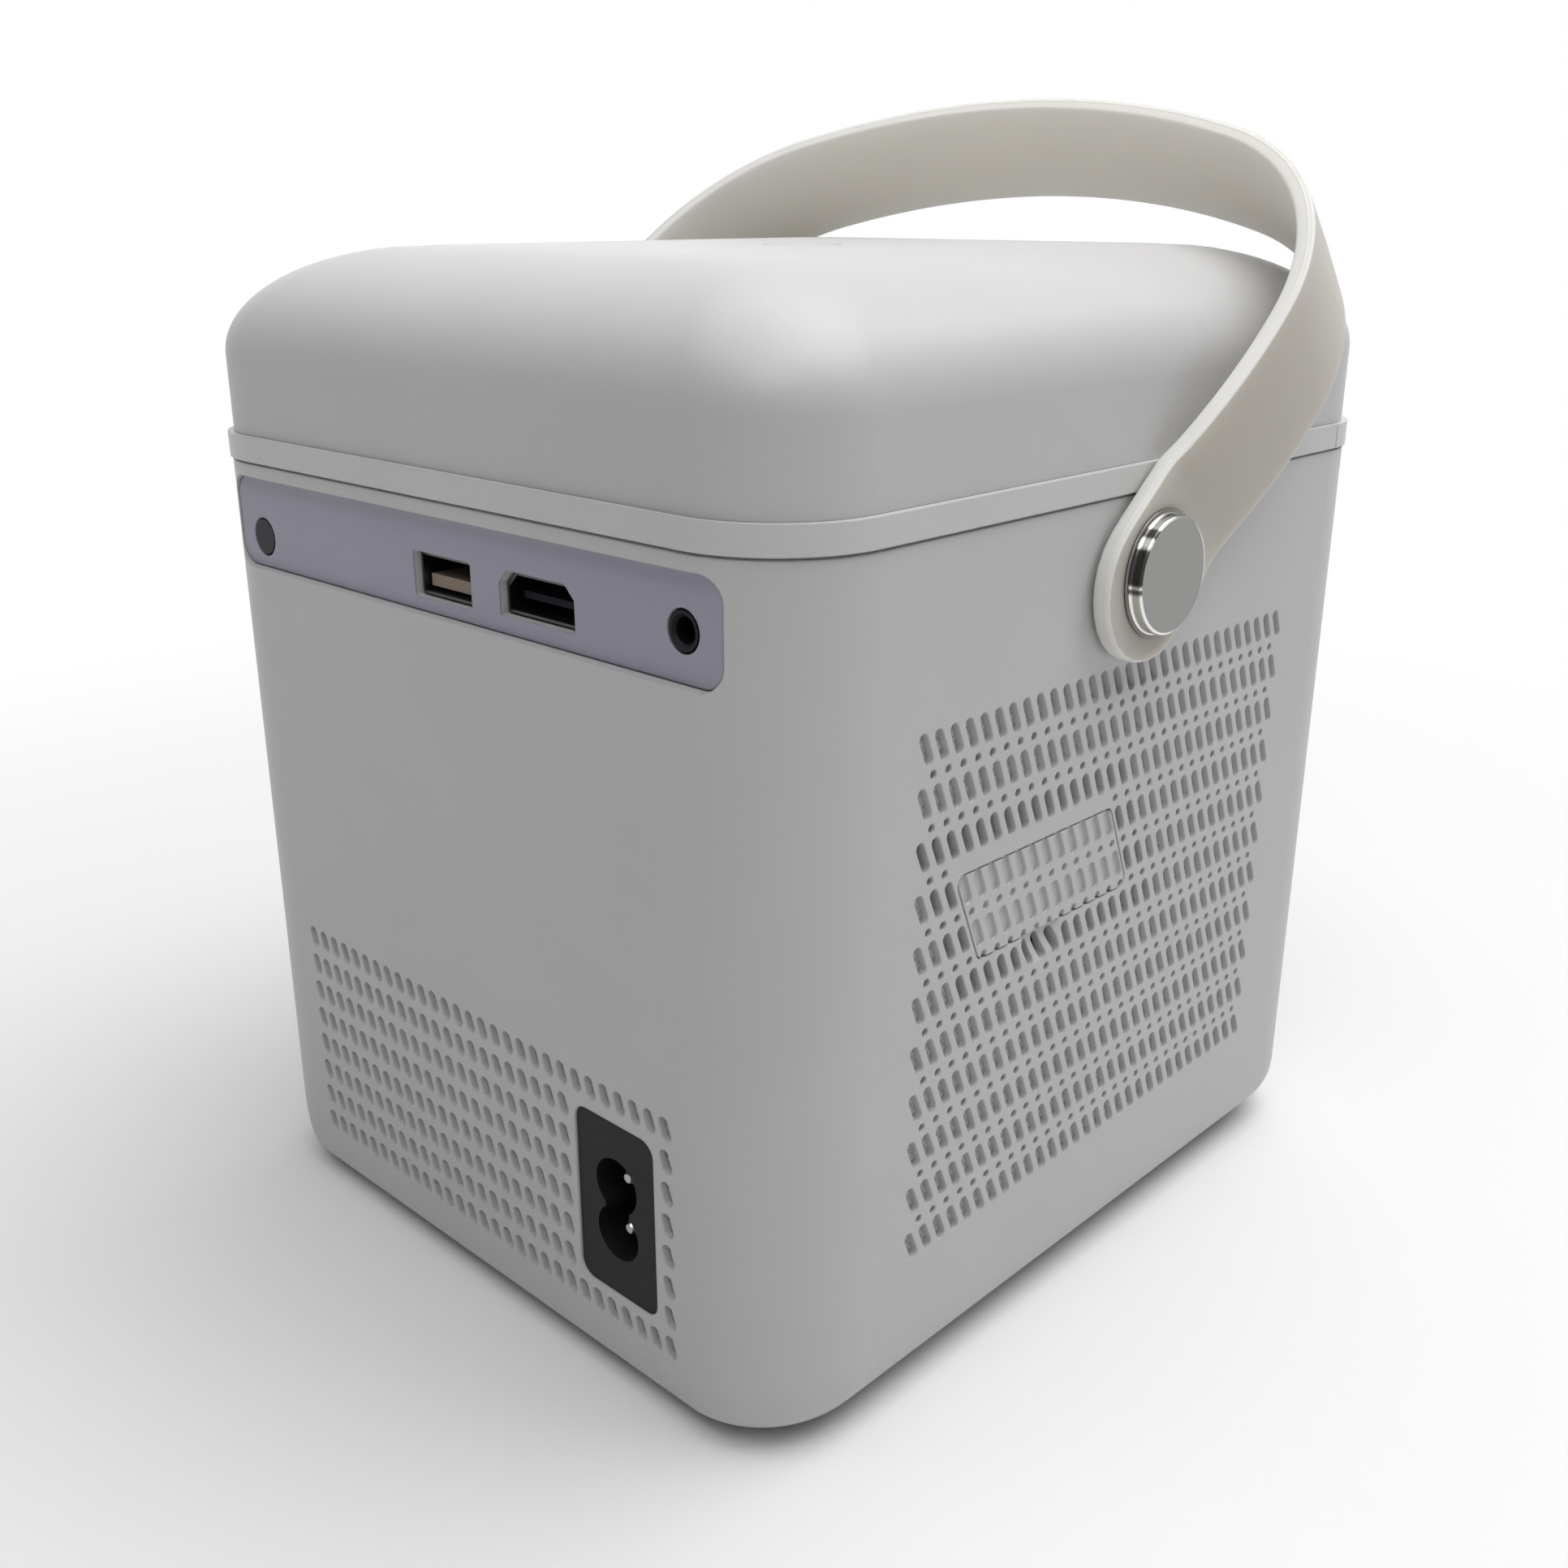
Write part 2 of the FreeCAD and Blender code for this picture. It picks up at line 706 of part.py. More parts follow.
def usb_socket():
    """Sheet-metal shell, open to the rear and set back in the panel's cut-out."""
    depth = 12.8
    wall = 0.4
    back_wall = 1.5
    face = "panel_face - socket_inset"
    shell = block((USB["width"], depth, USB["height"]), (USB["x"], "%s - %s" % (face, depth / 2), USB["z"]))
    mouth = block((USB["width"] - 2 * wall, depth, USB["height"] - 2 * wall),
                  (USB["x"], "%s - %s" % (face, depth / 2 - back_wall), USB["z"]))
    return cut(shell, mouth)


def usb_tongue():
    """Contact tongue, in the lower half of the mouth: the socket is mounted upside down."""
    length = 10.3
    start = 1
    return block((11.4, length, 1.8),
                 (USB["x"], "panel_face - socket_inset - %s" % (start + length / 2), USB["z"] - 1.1))


def hdmi_socket():
    depth = 10.8
    wall = 0.4
    outer = prism(hdmi_outline(0), (0, depth, 0))
    inner = prism(hdmi_outline(-wall), (0, depth, 0))
    back = value("panel_face - socket_inset") - depth
    outer.translate(Vector(0, back, 0))
    inner.translate(Vector(0, back + 1.2, 0))
    feet = block((13, 8, 0.7), (HDMI["x"], "panel_face - 8", "board_top + 0.35"))
    return join(shaped(outer.cut(inner)), feet)


def hdmi_tongue():
    length = 8.4
    start = 1.2
    return block((11, length, 1),
                 (HDMI["x"], "panel_face - socket_inset - %s" % (start + length / 2), HDMI["z"] - 0.3))


def headphone_socket():
    body = block((7.4, 12, 7), (JACK["x"], 64.4, "board_top + 3.5"))
    barrel = rod(2.6, "panel_face - 70.3", (JACK["x"], 70.3, JACK["z"]), "y")
    flare = taper(1.75, 2.2, 0.5, (JACK["x"], "panel_face - 0.45", JACK["z"]), "y")
    return cut(join(body, barrel), rod(1.75, 20, (JACK["x"], "panel_face - 13", JACK["z"]), "y"), flare)


def ir_receiver():
    body = block((6.6, 4, 5.8), (EYE["x"], 68.4, "board_top + 2.9"))
    window = rod(2.8, "panel_face - 70.4", (EYE["x"], 70.4, EYE["z"]), "y")
    return join(body, window)


def mains_inlet():
    """Figure-eight power socket with its face just below the rear wall."""
    face = "body_depth / 2 - 0.3"
    width = value("inlet_width") - 0.4
    height = value("inlet_height") - 0.4
    depth = 14
    body = rounded_block((width, depth, height), ("inlet_x", face + " - 7", "inlet_z"), 2.4, "y")
    lobe_start = ("inlet_x", face + " - 12", "inlet_z + 4")
    lobes = [rod(4.4, 20, lobe_start, "y"), rod(4.4, 20, ("inlet_x", face + " - 12", "inlet_z - 4"), "y")]
    waist = block((5.2, 20, 8), ("inlet_x", face + " - 2", "inlet_z"))
    legs = [rod("pin_radius", 30, ("inlet_x", 50, "inlet_z %s pin_spacing / 2" % sign), "y") for sign in "+-"]
    return cut(body, join(*lobes, waist), *legs)


def inlet_pins():
    """Two contact pins; their tips stop 2 mm below the socket's face."""
    pins = []
    for sign in "+-":
        start = ("inlet_x", 56, "inlet_z %s pin_spacing / 2" % sign)
        straight = rod("pin_radius", "body_depth / 2 - 2.4 - 56.8", start, "y")
        tip = taper("pin_radius", 0.7, 0.8, (start[0], "body_depth / 2 - 3.2", start[2]), "y")
        pins.append(join(straight, tip))
    return bundle(pins)


# Filter door and grille cloths

def filter_cover():
    """The flush cover on the -X side, with shallow grooves in line with the slits round it."""
    start_x = -value("body_width / 2")
    plate = shaped(door_outline(value("gap"), start_x, value("door_thick"), value("door_radius - gap")))
    # the cutters are 10 mm long, so they start that far outside less the depth of the grooves
    vents = shaped(side_vents(1.7, behind_door, dot_behind_door, start_x - 10 + value("groove_depth")))
    return cut(plate, vents)


def dust_filter():
    start_x = -value("body_width / 2 - door_thick")
    return shaped(door_outline(2.5, start_x, 4.2))


def side_cloth(with_door):
    """Cloth that lies in the pocket behind one side wall's slits."""
    inner_face = "-body_width / 2 + thin_wall"
    cloth = block(("cloth_thick", GRILLE["length"] - CLOTH_TRIM, GRILLE["height"] - CLOTH_TRIM),
                  (inner_face + " + cloth_thick / 2", GRILLE["y"], GRILLE["z"]))
    if with_door:
        return cut(cloth, shaped(door_outline(-6.4, -value("body_width / 2"), 6)))
    return mirrored(cloth)


def rear_cloth():
    """Cloth behind the rear slits, left open round the mains inlet."""
    cloth = block((REAR_GRILLE["width"] - CLOTH_TRIM, "cloth_thick", REAR_GRILLE["height"] - CLOTH_TRIM),
                  (0, "body_depth / 2 - thin_wall - cloth_thick / 2", REAR_GRILLE["z"]))
    return cut(cloth, block((20.6, 20, "inlet_height + 3.2"), ("inlet_x", "body_depth / 2", "inlet_z")))


def speaker_frame():
    """Basket and magnet of one loudspeaker, facing -X."""
    y = -28
    z = 50
    rim = tube(20, 17.6, 1.6, (-64.6, y, z), "x")
    basket = cut(taper(18.6, 11, 10, (-63.2, y, z), "x"), taper(17.4, 9.8, 10.2, (-63.3, y, z), "x"))
    windows = [block((5, 60, 5), (-58, y, z)), block((5, 5, 60), (-58, y, z))]
    magnet = rod(12, 6, (-53.2, y, z), "x")
    return join(cut(join(rim, basket), *windows), magnet)


def speaker_cone():
    y = -28
    z = 50
    cone = cut(taper(16.6, 6, 6, (-63.6, y, z), "x"), taper(16, 5.4, 6.1, (-63.7, y, z), "x"))
    surround = tube(17.6, 16.2, 0.4, (-63.6, y, z), "x")
    dust_cap = common(ball(8.4, (-54.2, y, z)), rod(6.6, 6.2, (-62.8, y, z), "x"))
    return join(cone, surround, dust_cap)


# Strap handle

def strap_handle():
    """The carrying strap, drawn upright about its pivots and then leaned towards the lens."""
    thick = value("strap_thick")
    crest = value("strap_crest")
    half = value("strap_half")
    shoulder = 41
    corner_x = 33.2
    corner_radius = half - corner_x
    tab_x = value("body_width / 2 + strap_gap") + thick
    tab_length = 13.4
    # the tab stays flat past the cap, then two tangent arcs carry the strap out to its shoulder
    seat_top = value("cap_radius") + 0.75
    bend = 12
    sum_of_radii = ((half - tab_x) ** 2 + (shoulder - seat_top) ** 2) / (2 * (half - tab_x))
    slope = math.asin((shoulder - seat_top) / sum_of_radii)
    long_bend = sum_of_radii - bend

    def bent(angle, offset):
        """A point on the short bend above the cap's seat."""
        return Vector(tab_x - offset + bend * (1 - math.cos(angle)), 0, seat_top + bend * math.sin(angle))

    def side(offset):
        """Points of one half from tab to crest, drawn in by an offset."""
        corner = corner_radius - offset
        turn = math.radians(20.9)
        return {
            "tab": Vector(tab_x - offset, 0, -tab_length),
            "seat": Vector(tab_x - offset, 0, seat_top),
            "flare": bent(slope / 2, offset),
            "out": bent(slope, offset),
            "bow": Vector(half - offset - long_bend * (1 - math.cos(slope / 2)), 0,
                          shoulder - long_bend * math.sin(slope / 2)),
            "shoulder": Vector(half - offset, 0, shoulder),
            "round": Vector(corner_x + corner * math.cos(math.radians(35)), 0,
                            shoulder + corner * math.sin(math.radians(35))),
            "top": Vector(corner_x + corner * math.sin(turn), 0, shoulder + corner * math.cos(turn)),
            "crest": Vector(0, 0, crest - offset),
        }

    def flip(point):
        return Vector(-point.x, point.y, point.z)

    def half_edges(points, turned):
        """Edges of one side of the bow, from tab to crest shoulder."""
        place = flip if turned else Vector
        at = {name: place(point) for name, point in points.items()}
        return [
            Part.LineSegment(at["tab"], at["seat"]).toShape(),
            Part.Arc(at["seat"], at["flare"], at["out"]).toShape(),
            Part.Arc(at["out"], at["bow"], at["shoulder"]).toShape(),
            Part.Arc(at["shoulder"], at["round"], at["top"]).toShape(),
        ]

    outer = side(0)
    inner = side(thick)
    edges = []
    for points in (outer, inner):
        edges += half_edges(points, False) + half_edges(points, True)
        edges.append(Part.Arc(flip(points["top"]), points["crest"], points["top"]).toShape())
    for place in (flip, Vector):
        edges.append(Part.LineSegment(place(inner["tab"]), place(outer["tab"])).toShape())
    wire = Part.Wire(Part.__sortEdges__(edges))
    loop = Part.Face(wire).extrude(Vector(0, 30, 0))
    loop.translate(Vector(0, -15, 0))
    return strap_width_cut(loop)


def strap_width_cut(loop):
    """Trims the bent band to its width, with a rounded tab round each pivot."""
    half = value("strap_width / 2")
    end = value("strap_end")
    neck = 15
    side = Part.makeBox(200, 2 * half, 100, Vector(-100, -half, neck))
    collar = prism([(-100, -end, 0), (-100, end, 0), (-100, half, neck), (-100, -half, neck)], (200, 0, 0))
    tab = Part.makeCylinder(end, 200, Vector(-100, 0, -2.1), Vector(1, 0, 0))
    fill = Part.makeBox(200, 2 * end, 2.1, Vector(-100, -end, -2.1))
    band = loop.common(side.fuse([collar, tab, fill]))
    hole = Part.makeCylinder(value("pin_bore"), 200, Vector(-100, 0, 0), Vector(1, 0, 0))
    band = band.cut(hole).removeSplitter()
    thing = shaped(band)
    turn = Rotation(Vector(1, 0, 0), value("strap_lean"))
    thing.Placement = FreeCAD.Placement(Vector(0, 0, value("pivot_height")), turn)
    return thing


STRAP_FACE = ("-body_width / 2 - strap_gap - strap_thick", 0, "pivot_height")


def handle_cap():
    """Bevelled round cap over the -X end of the pivot pin."""
    disc = padded_circle("cap_radius", "cap_thick", STRAP_FACE, "-x")
    return bevelled(disc, far_rim(disc), 1)


def pivot_pin():
    """Pin from the strap's outer face to the clip inside the wall."""
    return rod("pin_bore", "strap_gap + strap_thick + 6.7", STRAP_FACE, "x")


def pivot_bush():
    """Plain bearing in the wall, with its flange inside."""
    sleeve = rod(6, "wall", ("-body_width / 2 + 0.1", 0, "pivot_height"), "x")
    flange = rod(8, 2, ("-body_width / 2 + wall", 0, "pivot_height"), "x")
    bore = rod("pin_bore + 0.05", 10, ("-body_width / 2 - 1", 0, "pivot_height"), "x")
    return cut(join(sleeve, flange), bore)


def pin_clip():
    ring = tube(4.2, "pin_bore", 0.8, ("-body_width / 2 + wall + 2.4", 0, "pivot_height"), "x")
    return cut(ring, block((4, 8, 3.4), ("-body_width / 2 + wall + 2.8", -4, "pivot_height")))


# Power button

def power_button():
    """Round cap flush in the top, with a flange that keeps it in and a stem for the switch."""
    cap = rod(6.1, 3.6, (0, 0, "top_height - 3.6"))
    flange = rod(7.6, 1, (0, 0, "top_height - wall - 2.2"))
    stem = rod(1.6, 5.6, (0, 0, "top_height - wall - 6.8"))
    return join(cap, flange, stem)


def button_board():
    """Small board under the button, with the switch that the stem presses."""
    board = cut(block((44, 16, 1.6), (0, 0, 148.8)), *[rod(1.2, 10, (x, y, 144)) for x, y in BUTTON_POSTS])
    switch = join(block((6.2, 6.2, 1.6), (0, 0, 150.4)), rod(1.7, 0.5, (0, 0, 151.1)))
    return bundle([board, switch])


def small_screws():
    """Screws of one size: four through the drive deck and two through the button board."""
    shape = screw_shape(1.9, 0.9, 0.85, 5)
    deck_top = value("deck_height + deck_thick")
    group = []
    for places, turn in (([(x, y, deck_top) for x, y in DECK_SCREWS], TURNS["z"]),
                         ([(x, y, 148) for x, y in BUTTON_POSTS], TURNS["-z"])):
        for place in places:
            one = shape.copy()
            one.Placement = FreeCAD.Placement(Vector(*place), turn)
            group.append(one)
    return shaped(Part.makeCompound(group))


# Lens and light engine

def focus_ring():
    """Turning ring round the lens, flush with the fascia, with finger notches in its face."""
    front = "-body_depth / 2 + 0.4"
    ring = tube("lens_hole", "lens_hole - 2.8", 9.4, (0, front, "lens_height"), "y")
    notches = []
    for number in range(24):
        angle = math.radians(360 / 24 * number)
        x = 24.6 * math.sin(angle)
        z = value("lens_height") + 24.6 * math.cos(angle)
        notches.append(rod(0.9, 7, (x, value(front) - 1, z), "y"))
    return cut(ring, *notches)


def lens_barrel():
    front = -72.9
    barrel = tube("lens_hole - 2.9", "lens_hole - 4.9", -45 - front, (0, front, "lens_height"), "y")
    flange = tube(28, "lens_hole - 4.9", 2, (0, -47, "lens_height"), "y")
    return join(barrel, flange)


def lens_cell():
    """Sliding carrier of the lenses; it runs in the barrel."""
    outer = rod("lens_hole - 5", 18, (0, -69.5, "lens_height"), "y")
    front_seat = rod(17.5, 11, (0, -70, "lens_height"), "y")
    waist = rod(15.5, 30, (0, -75, "lens_height"), "y")
    rear_seat = rod(16.5, 8, (0, -57, "lens_height"), "y")
    return cut(outer, front_seat, waist, rear_seat)


def lens_elements():
    height = "lens_height"
    front = common(rod(17.5, 9, (0, -68.5, height), "y"), ball(30, (0, -38.5, height)))
    rear = common(rod(16.5, 6, (0, -57, height), "y"), ball(34, (0, -85.5, height)))
    return bundle([front, rear])


def engine_case():
    """Closed light path from the lamp to the lens, on four legs."""
    middle = (0, -5, "lens_height")
    outer = rounded_block((64, 80, 60), middle, 3)
    inner = block((60, 76, 56), middle)
    lens_opening = rod("lens_hole - 4.9", 10, (0, -50, "lens_height"), "y")
    lamp_opening = block((24, 10, 24), (0, 34, "lens_height"))
    legs = [rod(3, 36, (x, y, 6.8)) for x in (-27, 27) for y in (-38, 28)]
    intakes = [block((80, 3, 24), (0, y, "lens_height")) for y in (-18, -12, 10, 16)]
    return join(cut(outer, inner, lens_opening, lamp_opening, *intakes), *legs)


def led_board():
    board = block((40, 1.6, 40), (0, 35.8, "lens_height"))
    emitter = block((16, 1.6, 16), (0, 34.2, "lens_height"))
    return bundle([board, emitter])


def led_heatsink():
    base = block((52, 4, 44), (0, 38.6, "lens_height"))
    fins = [block((1.4, 17.6, 44), (x, 49.2, "lens_height")) for x in range(-24, 25, 6)]
    return join(base, *fins)


def engine_lenses():
    """Condenser in front of the lamp and flat field lens in front of the panel."""
    condenser = common(rod(26, 8, (0, 20, "lens_height"), "y"), ball(46, (0, 66, "lens_height")))
    field = block((59.4, 1.6, 55.4), (0, -24, "lens_height"))
    return bundle([condenser, field])


def lcd_panel():
    return block((59.4, 2.4, 55.4), (0, -2, "lens_height"))


# Cooling fan

FAN = {"x": 20, "y": 62.6, "z": 31, "size": 40, "depth": 10}


def fan_frame():
    x, y, z = FAN["x"], FAN["y"], FAN["z"]
    frame = rounded_block((FAN["size"], FAN["depth"], FAN["size"]), (x, y + FAN["depth"] / 2, z), 3, "y")
    duct = rod(19, 20, (x, y - 1, z), "y")
    holes = [rod(1.7, 20, (x + dx, y - 1, z + dz), "y") for dx in (-16, 16) for dz in (-16, 16)]
    hub = rod(7.5, 1.4, (x, y, z), "y")
    spokes = [block((38.6, 1.4, 2), (x, y + 0.7, z)), block((2, 1.4, 38.6), (x, y + 0.7, z))]
    spindle = rod(1, 7.6, (x, y + 0.5, z), "y")
    return join(cut(frame, duct, *holes), hub, *spokes, spindle)


def fan_rotor():
    x, y, z = FAN["x"], FAN["y"], FAN["z"]
    hub = rod(8, 7, (x, y + 1.9, z), "y")
    blades = []
    for number in range(7):
        blade = Part.makeBox(11.2, 1, 7.2, Vector(7.2, -0.5, -3.6))
        blade.rotate(Vector(0, 0, 0), Vector(1, 0, 0), 48)
        blade.rotate(Vector(0, 0, 0), Vector(0, 0, 1), 360 / 7 * number)
        blade.rotate(Vector(0, 0, 0), Vector(1, 0, 0), -90)
        blade.translate(Vector(x, y + 5.4, z))
        blades.append(shaped(blade))
    bore = rod(1.05, 6.8, (x, y + 1.8, z), "y")
    return cut(join(hub, *blades), bore)


# Chassis and boards

def base_tray():
    """Steel tray on the casing floor that carries the light engine and the power board."""
    plate = rounded_block((110, 118, 1.2), (0, 2, 6.2), 8)
    air_holes = [rounded_block((8, 60, 10), (x, 0, 6), 3) for x in (-8, 4, 16)]
    stands = [rod(2.4, 5.4, (x, y, 6.6)) for x in (-53, -37) for y in (-24, 44)]
    return join(cut(plate, *air_holes), *stands)


def power_board():
    board = block((22, 80, 1.6), (-45, 10, 12.8))
    transformer = join(block((18, 24, 14), (-45, 27, 20.6)), block((12, 16, 4), (-45, 27, 29)))
    capacitor = rod(5.5, 18, (-45, -2, 13.6))
    return bundle([board, transformer, capacitor])


def main_board():
    board = rounded_block((116, 80.2, 1.6), (0, 30.1, "board_top - 0.8"), 8)
    chips = [block((14, 14, 1.6), (8, 14, "board_top + 0.8")),
             block((12, 8, 1.2), (-16, 18, "board_top + 0.6")),
             block((10, 10, 1.4), (28, 34, "board_top + 0.7")),
             block((20, 6, 4.4), (-24, -4, "board_top + 2.2"))]
    return bundle([board] + chips)


# Disc drive



def drive_chassis():
    """Deck of the disc drive, with stands for the pickup's rods and feed screw."""
    deck_middle = "deck_height + deck_thick / 2"
    deck_top = "deck_height + deck_thick"
    plate = rounded_block((124.8, 136, "deck_thick"), (0, -2, deck_middle), 13)
    ears = [block((4, 11, "deck_thick"), (side * 62.2, y, deck_middle))
            for side in (-1, 1) for y in (-28, 30)]
    stands = [block((4.4, 3, 3.8), (x, y, deck_top + " + 1.9")) for x, y in
              ((-18, 15.5), (18, 15.5), (-18, 63.5), (18, 63.5), ("screw_x", 63.5))]
    gear_window = block((24, 22.9, 10), (47.5, -59.05, deck_middle))
    motor_window = block((8, 14.5, 10), ("screw_x", 11.5, deck_middle))
    cable_window = rounded_block((18, 36, 10), (0, 42, deck_middle), 3)
    rod_holes = [rod(1, 60, (x, 10, "rod_height"), "y") for x in ("-rod_spread", "rod_spread")]
    screw_hole = rod(1.25, 60, ("screw_x", 20, "rod_height"), "y")
    ear_holes = [rod(1.1, 10, (x, y, "deck_height - 4")) for x, y in DECK_SCREWS]
    return cut(join(plate, *ears, *stands), gear_window, motor_window, cable_window, screw_hole,
               *rod_holes, *ear_holes)


def guide_rods():
    return bundle([rod(1, 50.4, (x, 14.3, "rod_height"), "y") for x in ("-rod_spread", "rod_spread")])


def pickup_sled():
    """Optical pickup on its two rods, drawn with the lens at the inner end of its travel."""
    body = block((26, 14, 3.4), (0, 25, "rod_height + 0.2"))
    arm = block((46.6, 5, 3), (3.3, 21, "rod_height"))
    lens_tower = rod(4.4, 0.6, (0, 25, "rod_height + 1.8"))
    lens = ball(2, (0, 25, "rod_height + 1.2"))
    bores = [rod(1.05, 60, (x, 5, "rod_height"), "y") for x in ("-rod_spread", "rod_spread")]
    screw_bore = rod(1.25, 60, ("screw_x", 5, "rod_height"), "y")
    return cut(join(body, arm, lens_tower, lens), screw_bore, *bores)


def feed_screw():
    return rod(1.2, 54.4, ("screw_x", 10.5, "rod_height"), "y")


def feed_motor():
    can = rod(2.8, 11, ("screw_x", 6, "rod_height"), "y")
    return cut(can, rod(1.25, 10, ("screw_x", 10, "rod_height"), "y"))


def spindle_motor():
    deck_top = "deck_height + deck_thick"
    return cut(rod(12, 2.6, (0, 0, deck_top)), rod(1.55, 5, (0, 0, deck_top + " + 0.2")))


def turntable():
    """Disc platform with its centring cone and the motor's shaft."""
    platform_base = "disc_height - 3.65"
    platform = rod(14, 1, (0, 0, platform_base))
    hub = rod(5, 1.2, (0, 0, platform_base + " - 1"))
    cone = taper(7.4, 5.8, 1.7, (0, 0, platform_base + " + 1"))
    shaft = rod(1.5, 3.8, (0, 0, platform_base + " - 3.7"))
    return join(platform, hub, cone, shaft)


def clamp_bridge():
    """Bent strip over the disc that holds the clamp."""
    span = block((124, 16, 1), (0, 0, 137.5))
    legs = [block((1.2, 16, 13.2), (side * 61.4, 0, 130.8)) for side in (-1, 1)]
    return cut(join(span, *legs), rod(5.2, 10, (0, 0, 130)))


def clamp_carrier():
    """Bobbin that lifts and lowers the puck through the bridge."""
    sleeve = rod(5.13, 5, (0, 0, 136.1))
    lower = rod(8, 1, (0, 0, 135.3))
    upper = rod(8, 1, (0, 0, 140.8))
    return cut(join(sleeve, lower, upper), rod(1.55, 20, (0, 0, 130)))


def clamp_puck():
    """Free-running puck that presses the disc onto the turntable."""
    disc = cut(rod(12, 2, (0, 0, 132.9)), rod(6.6, 1.2, (0, 0, 132.8)))
    pin = rod(1.5, 8.6, (0, 0, 134.2))
    clip = rod(3, 0.8, (0, 0, 142.1))
    return join(disc, pin, clip)


# Loading roller and its gears; every gear axis runs along X

IDLER = {"y": 5.2, "z": -3.9}
PINION = {"y": 11.2, "z": -3.9}
GEAR_MODULE = 0.5
ROLLER_TEETH = 10
IDLER_TEETH = 16
PINION_TEETH = 8


def gear_shape(teeth, first_tooth):
    """Spur gear about Z with one tooth centred at the given angle in radians."""
    pitch = teeth * GEAR_MODULE / 2
    root = pitch - 1.2 * GEAR_MODULE
    tip = pitch + 0.88 * GEAR_MODULE
    step = 2 * math.pi / teeth
    # half widths of a tooth as fractions of the tooth pitch, from root to tip
    profile = [(root, 0.30), (pitch, 0.215), (tip, 0.10)]
    points = []
    for number in range(teeth):
        middle = first_tooth + step * number
        flank = [(radius, middle - step * part) for radius, part in profile]
        flank += [(radius, middle + step * part) for radius, part in reversed(profile)]
        points += [(radius * math.cos(angle), radius * math.sin(angle), 0) for radius, angle in flank]
    return prism(points, (0, 0, value("gear_thick")))


def local_angle(dy, dz):
    """Angle about a gear's own axis of a direction across X."""
    return math.atan2(dy, -dz)


def gear_phases():
    """First tooth angles that put the three gears in mesh."""
    to_idler = local_angle(IDLER["y"], IDLER["z"])
    idler_phase = to_idler + math.pi + math.pi / IDLER_TEETH
    to_pinion = local_angle(PINION["y"] - IDLER["y"], PINION["z"] - IDLER["z"])
    idler_step = 2 * math.pi / IDLER_TEETH
    nearest = (idler_phase - to_pinion) % idler_step
    offset = -nearest * IDLER_TEETH / PINION_TEETH
    pinion_phase = to_pinion + math.pi + offset + math.pi / PINION_TEETH
    return to_idler, idler_phase, pinion_phase


def placed_gear(teeth, phase, dy, dz):
    gear = shaped(gear_shape(teeth, phase))
    return spot(gear, "gear_x", "roller_y + %s" % dy, "roller_z + %s" % dz, TURNS["x"])


def roller_shaft():
    """Steel shaft of the roller with its gear at the +X end."""
    shaft = rod(1.25, 112.2, (-54.4, "roller_y", "roller_z"), "x")
    return join(shaft, placed_gear(ROLLER_TEETH, gear_phases()[0], 0, 0))


def loading_roller():
    return tube("roller_radius", 1.25, 100, (-50, "roller_y", "roller_z"), "x")


def idler_gear():
    gear = placed_gear(IDLER_TEETH, gear_phases()[1], IDLER["y"], IDLER["z"])
    bore = rod(1.05, 10, (54, "roller_y + %s" % IDLER["y"], "roller_z + %s" % IDLER["z"]), "x")
    return cut(gear, bore)


def motor_pinion():
    """Motor gear with the motor's shaft."""
    place = (50.2, "roller_y + %s" % PINION["y"], "roller_z + %s" % PINION["z"])
    gear = placed_gear(PINION_TEETH, gear_phases()[2], PINION["y"], PINION["z"])
    return join(gear, rod(0.75, 8, place, "x"))


def loading_motor():
    y = "roller_y + %s" % PINION["y"]
    z = "roller_z + %s" % PINION["z"]
    can = rod(5.5, 16, (36, y, z), "x")
    boss = rod(2, 1.4, (51.8, y, z), "x")
    return cut(join(can, boss), rod(0.8, 10, (49.8, y, z), "x"))


def roller_brackets():
    """Bearing plates of the roller; the right one also carries the idler's stub and the motor."""
    deck_top = value("deck_height + deck_thick")
    y = value("roller_y")
    z = value("roller_z")
    notch = block((4, 4.2, 6.4), (52.7, -45.7, deck_top - 3.2))
    plate = cut(block((1.4, 25, 12.4), (52.7, -56.5, 124.4)), notch)
    foot = block((7.4, 3, 1.2), (49.7, -45.5, deck_top + 0.6))
    stub = rod(1, 6.2, (52.4, y + IDLER["y"], z + IDLER["z"]), "x")
    shoulder = rod(1.7, 2.2, (53.3, y + IDLER["y"], z + IDLER["z"]), "x")
    stub_head = rod(1.7, 0.6, (58.2, y + IDLER["y"], z + IDLER["z"]), "x")
    bearing = rod(1.3, 10, (48, y, z), "x")
    motor_hole = rod(2.1, 10, (48, y + PINION["y"], z + PINION["z"]), "x")
    right = join(cut(join(plate, foot), bearing, motor_hole), stub, shoulder, stub_head)
    left_plate = join(block((1.4, 8, 6.4), (-52.7, -64, deck_top + 3.2)),
                      block((5, 4, 1.2), (-55.2, -62, deck_top + 0.6)))
    left = cut(left_plate, rod(1.3, 10, (-58, y, z), "x"))
    return bundle([right, left])


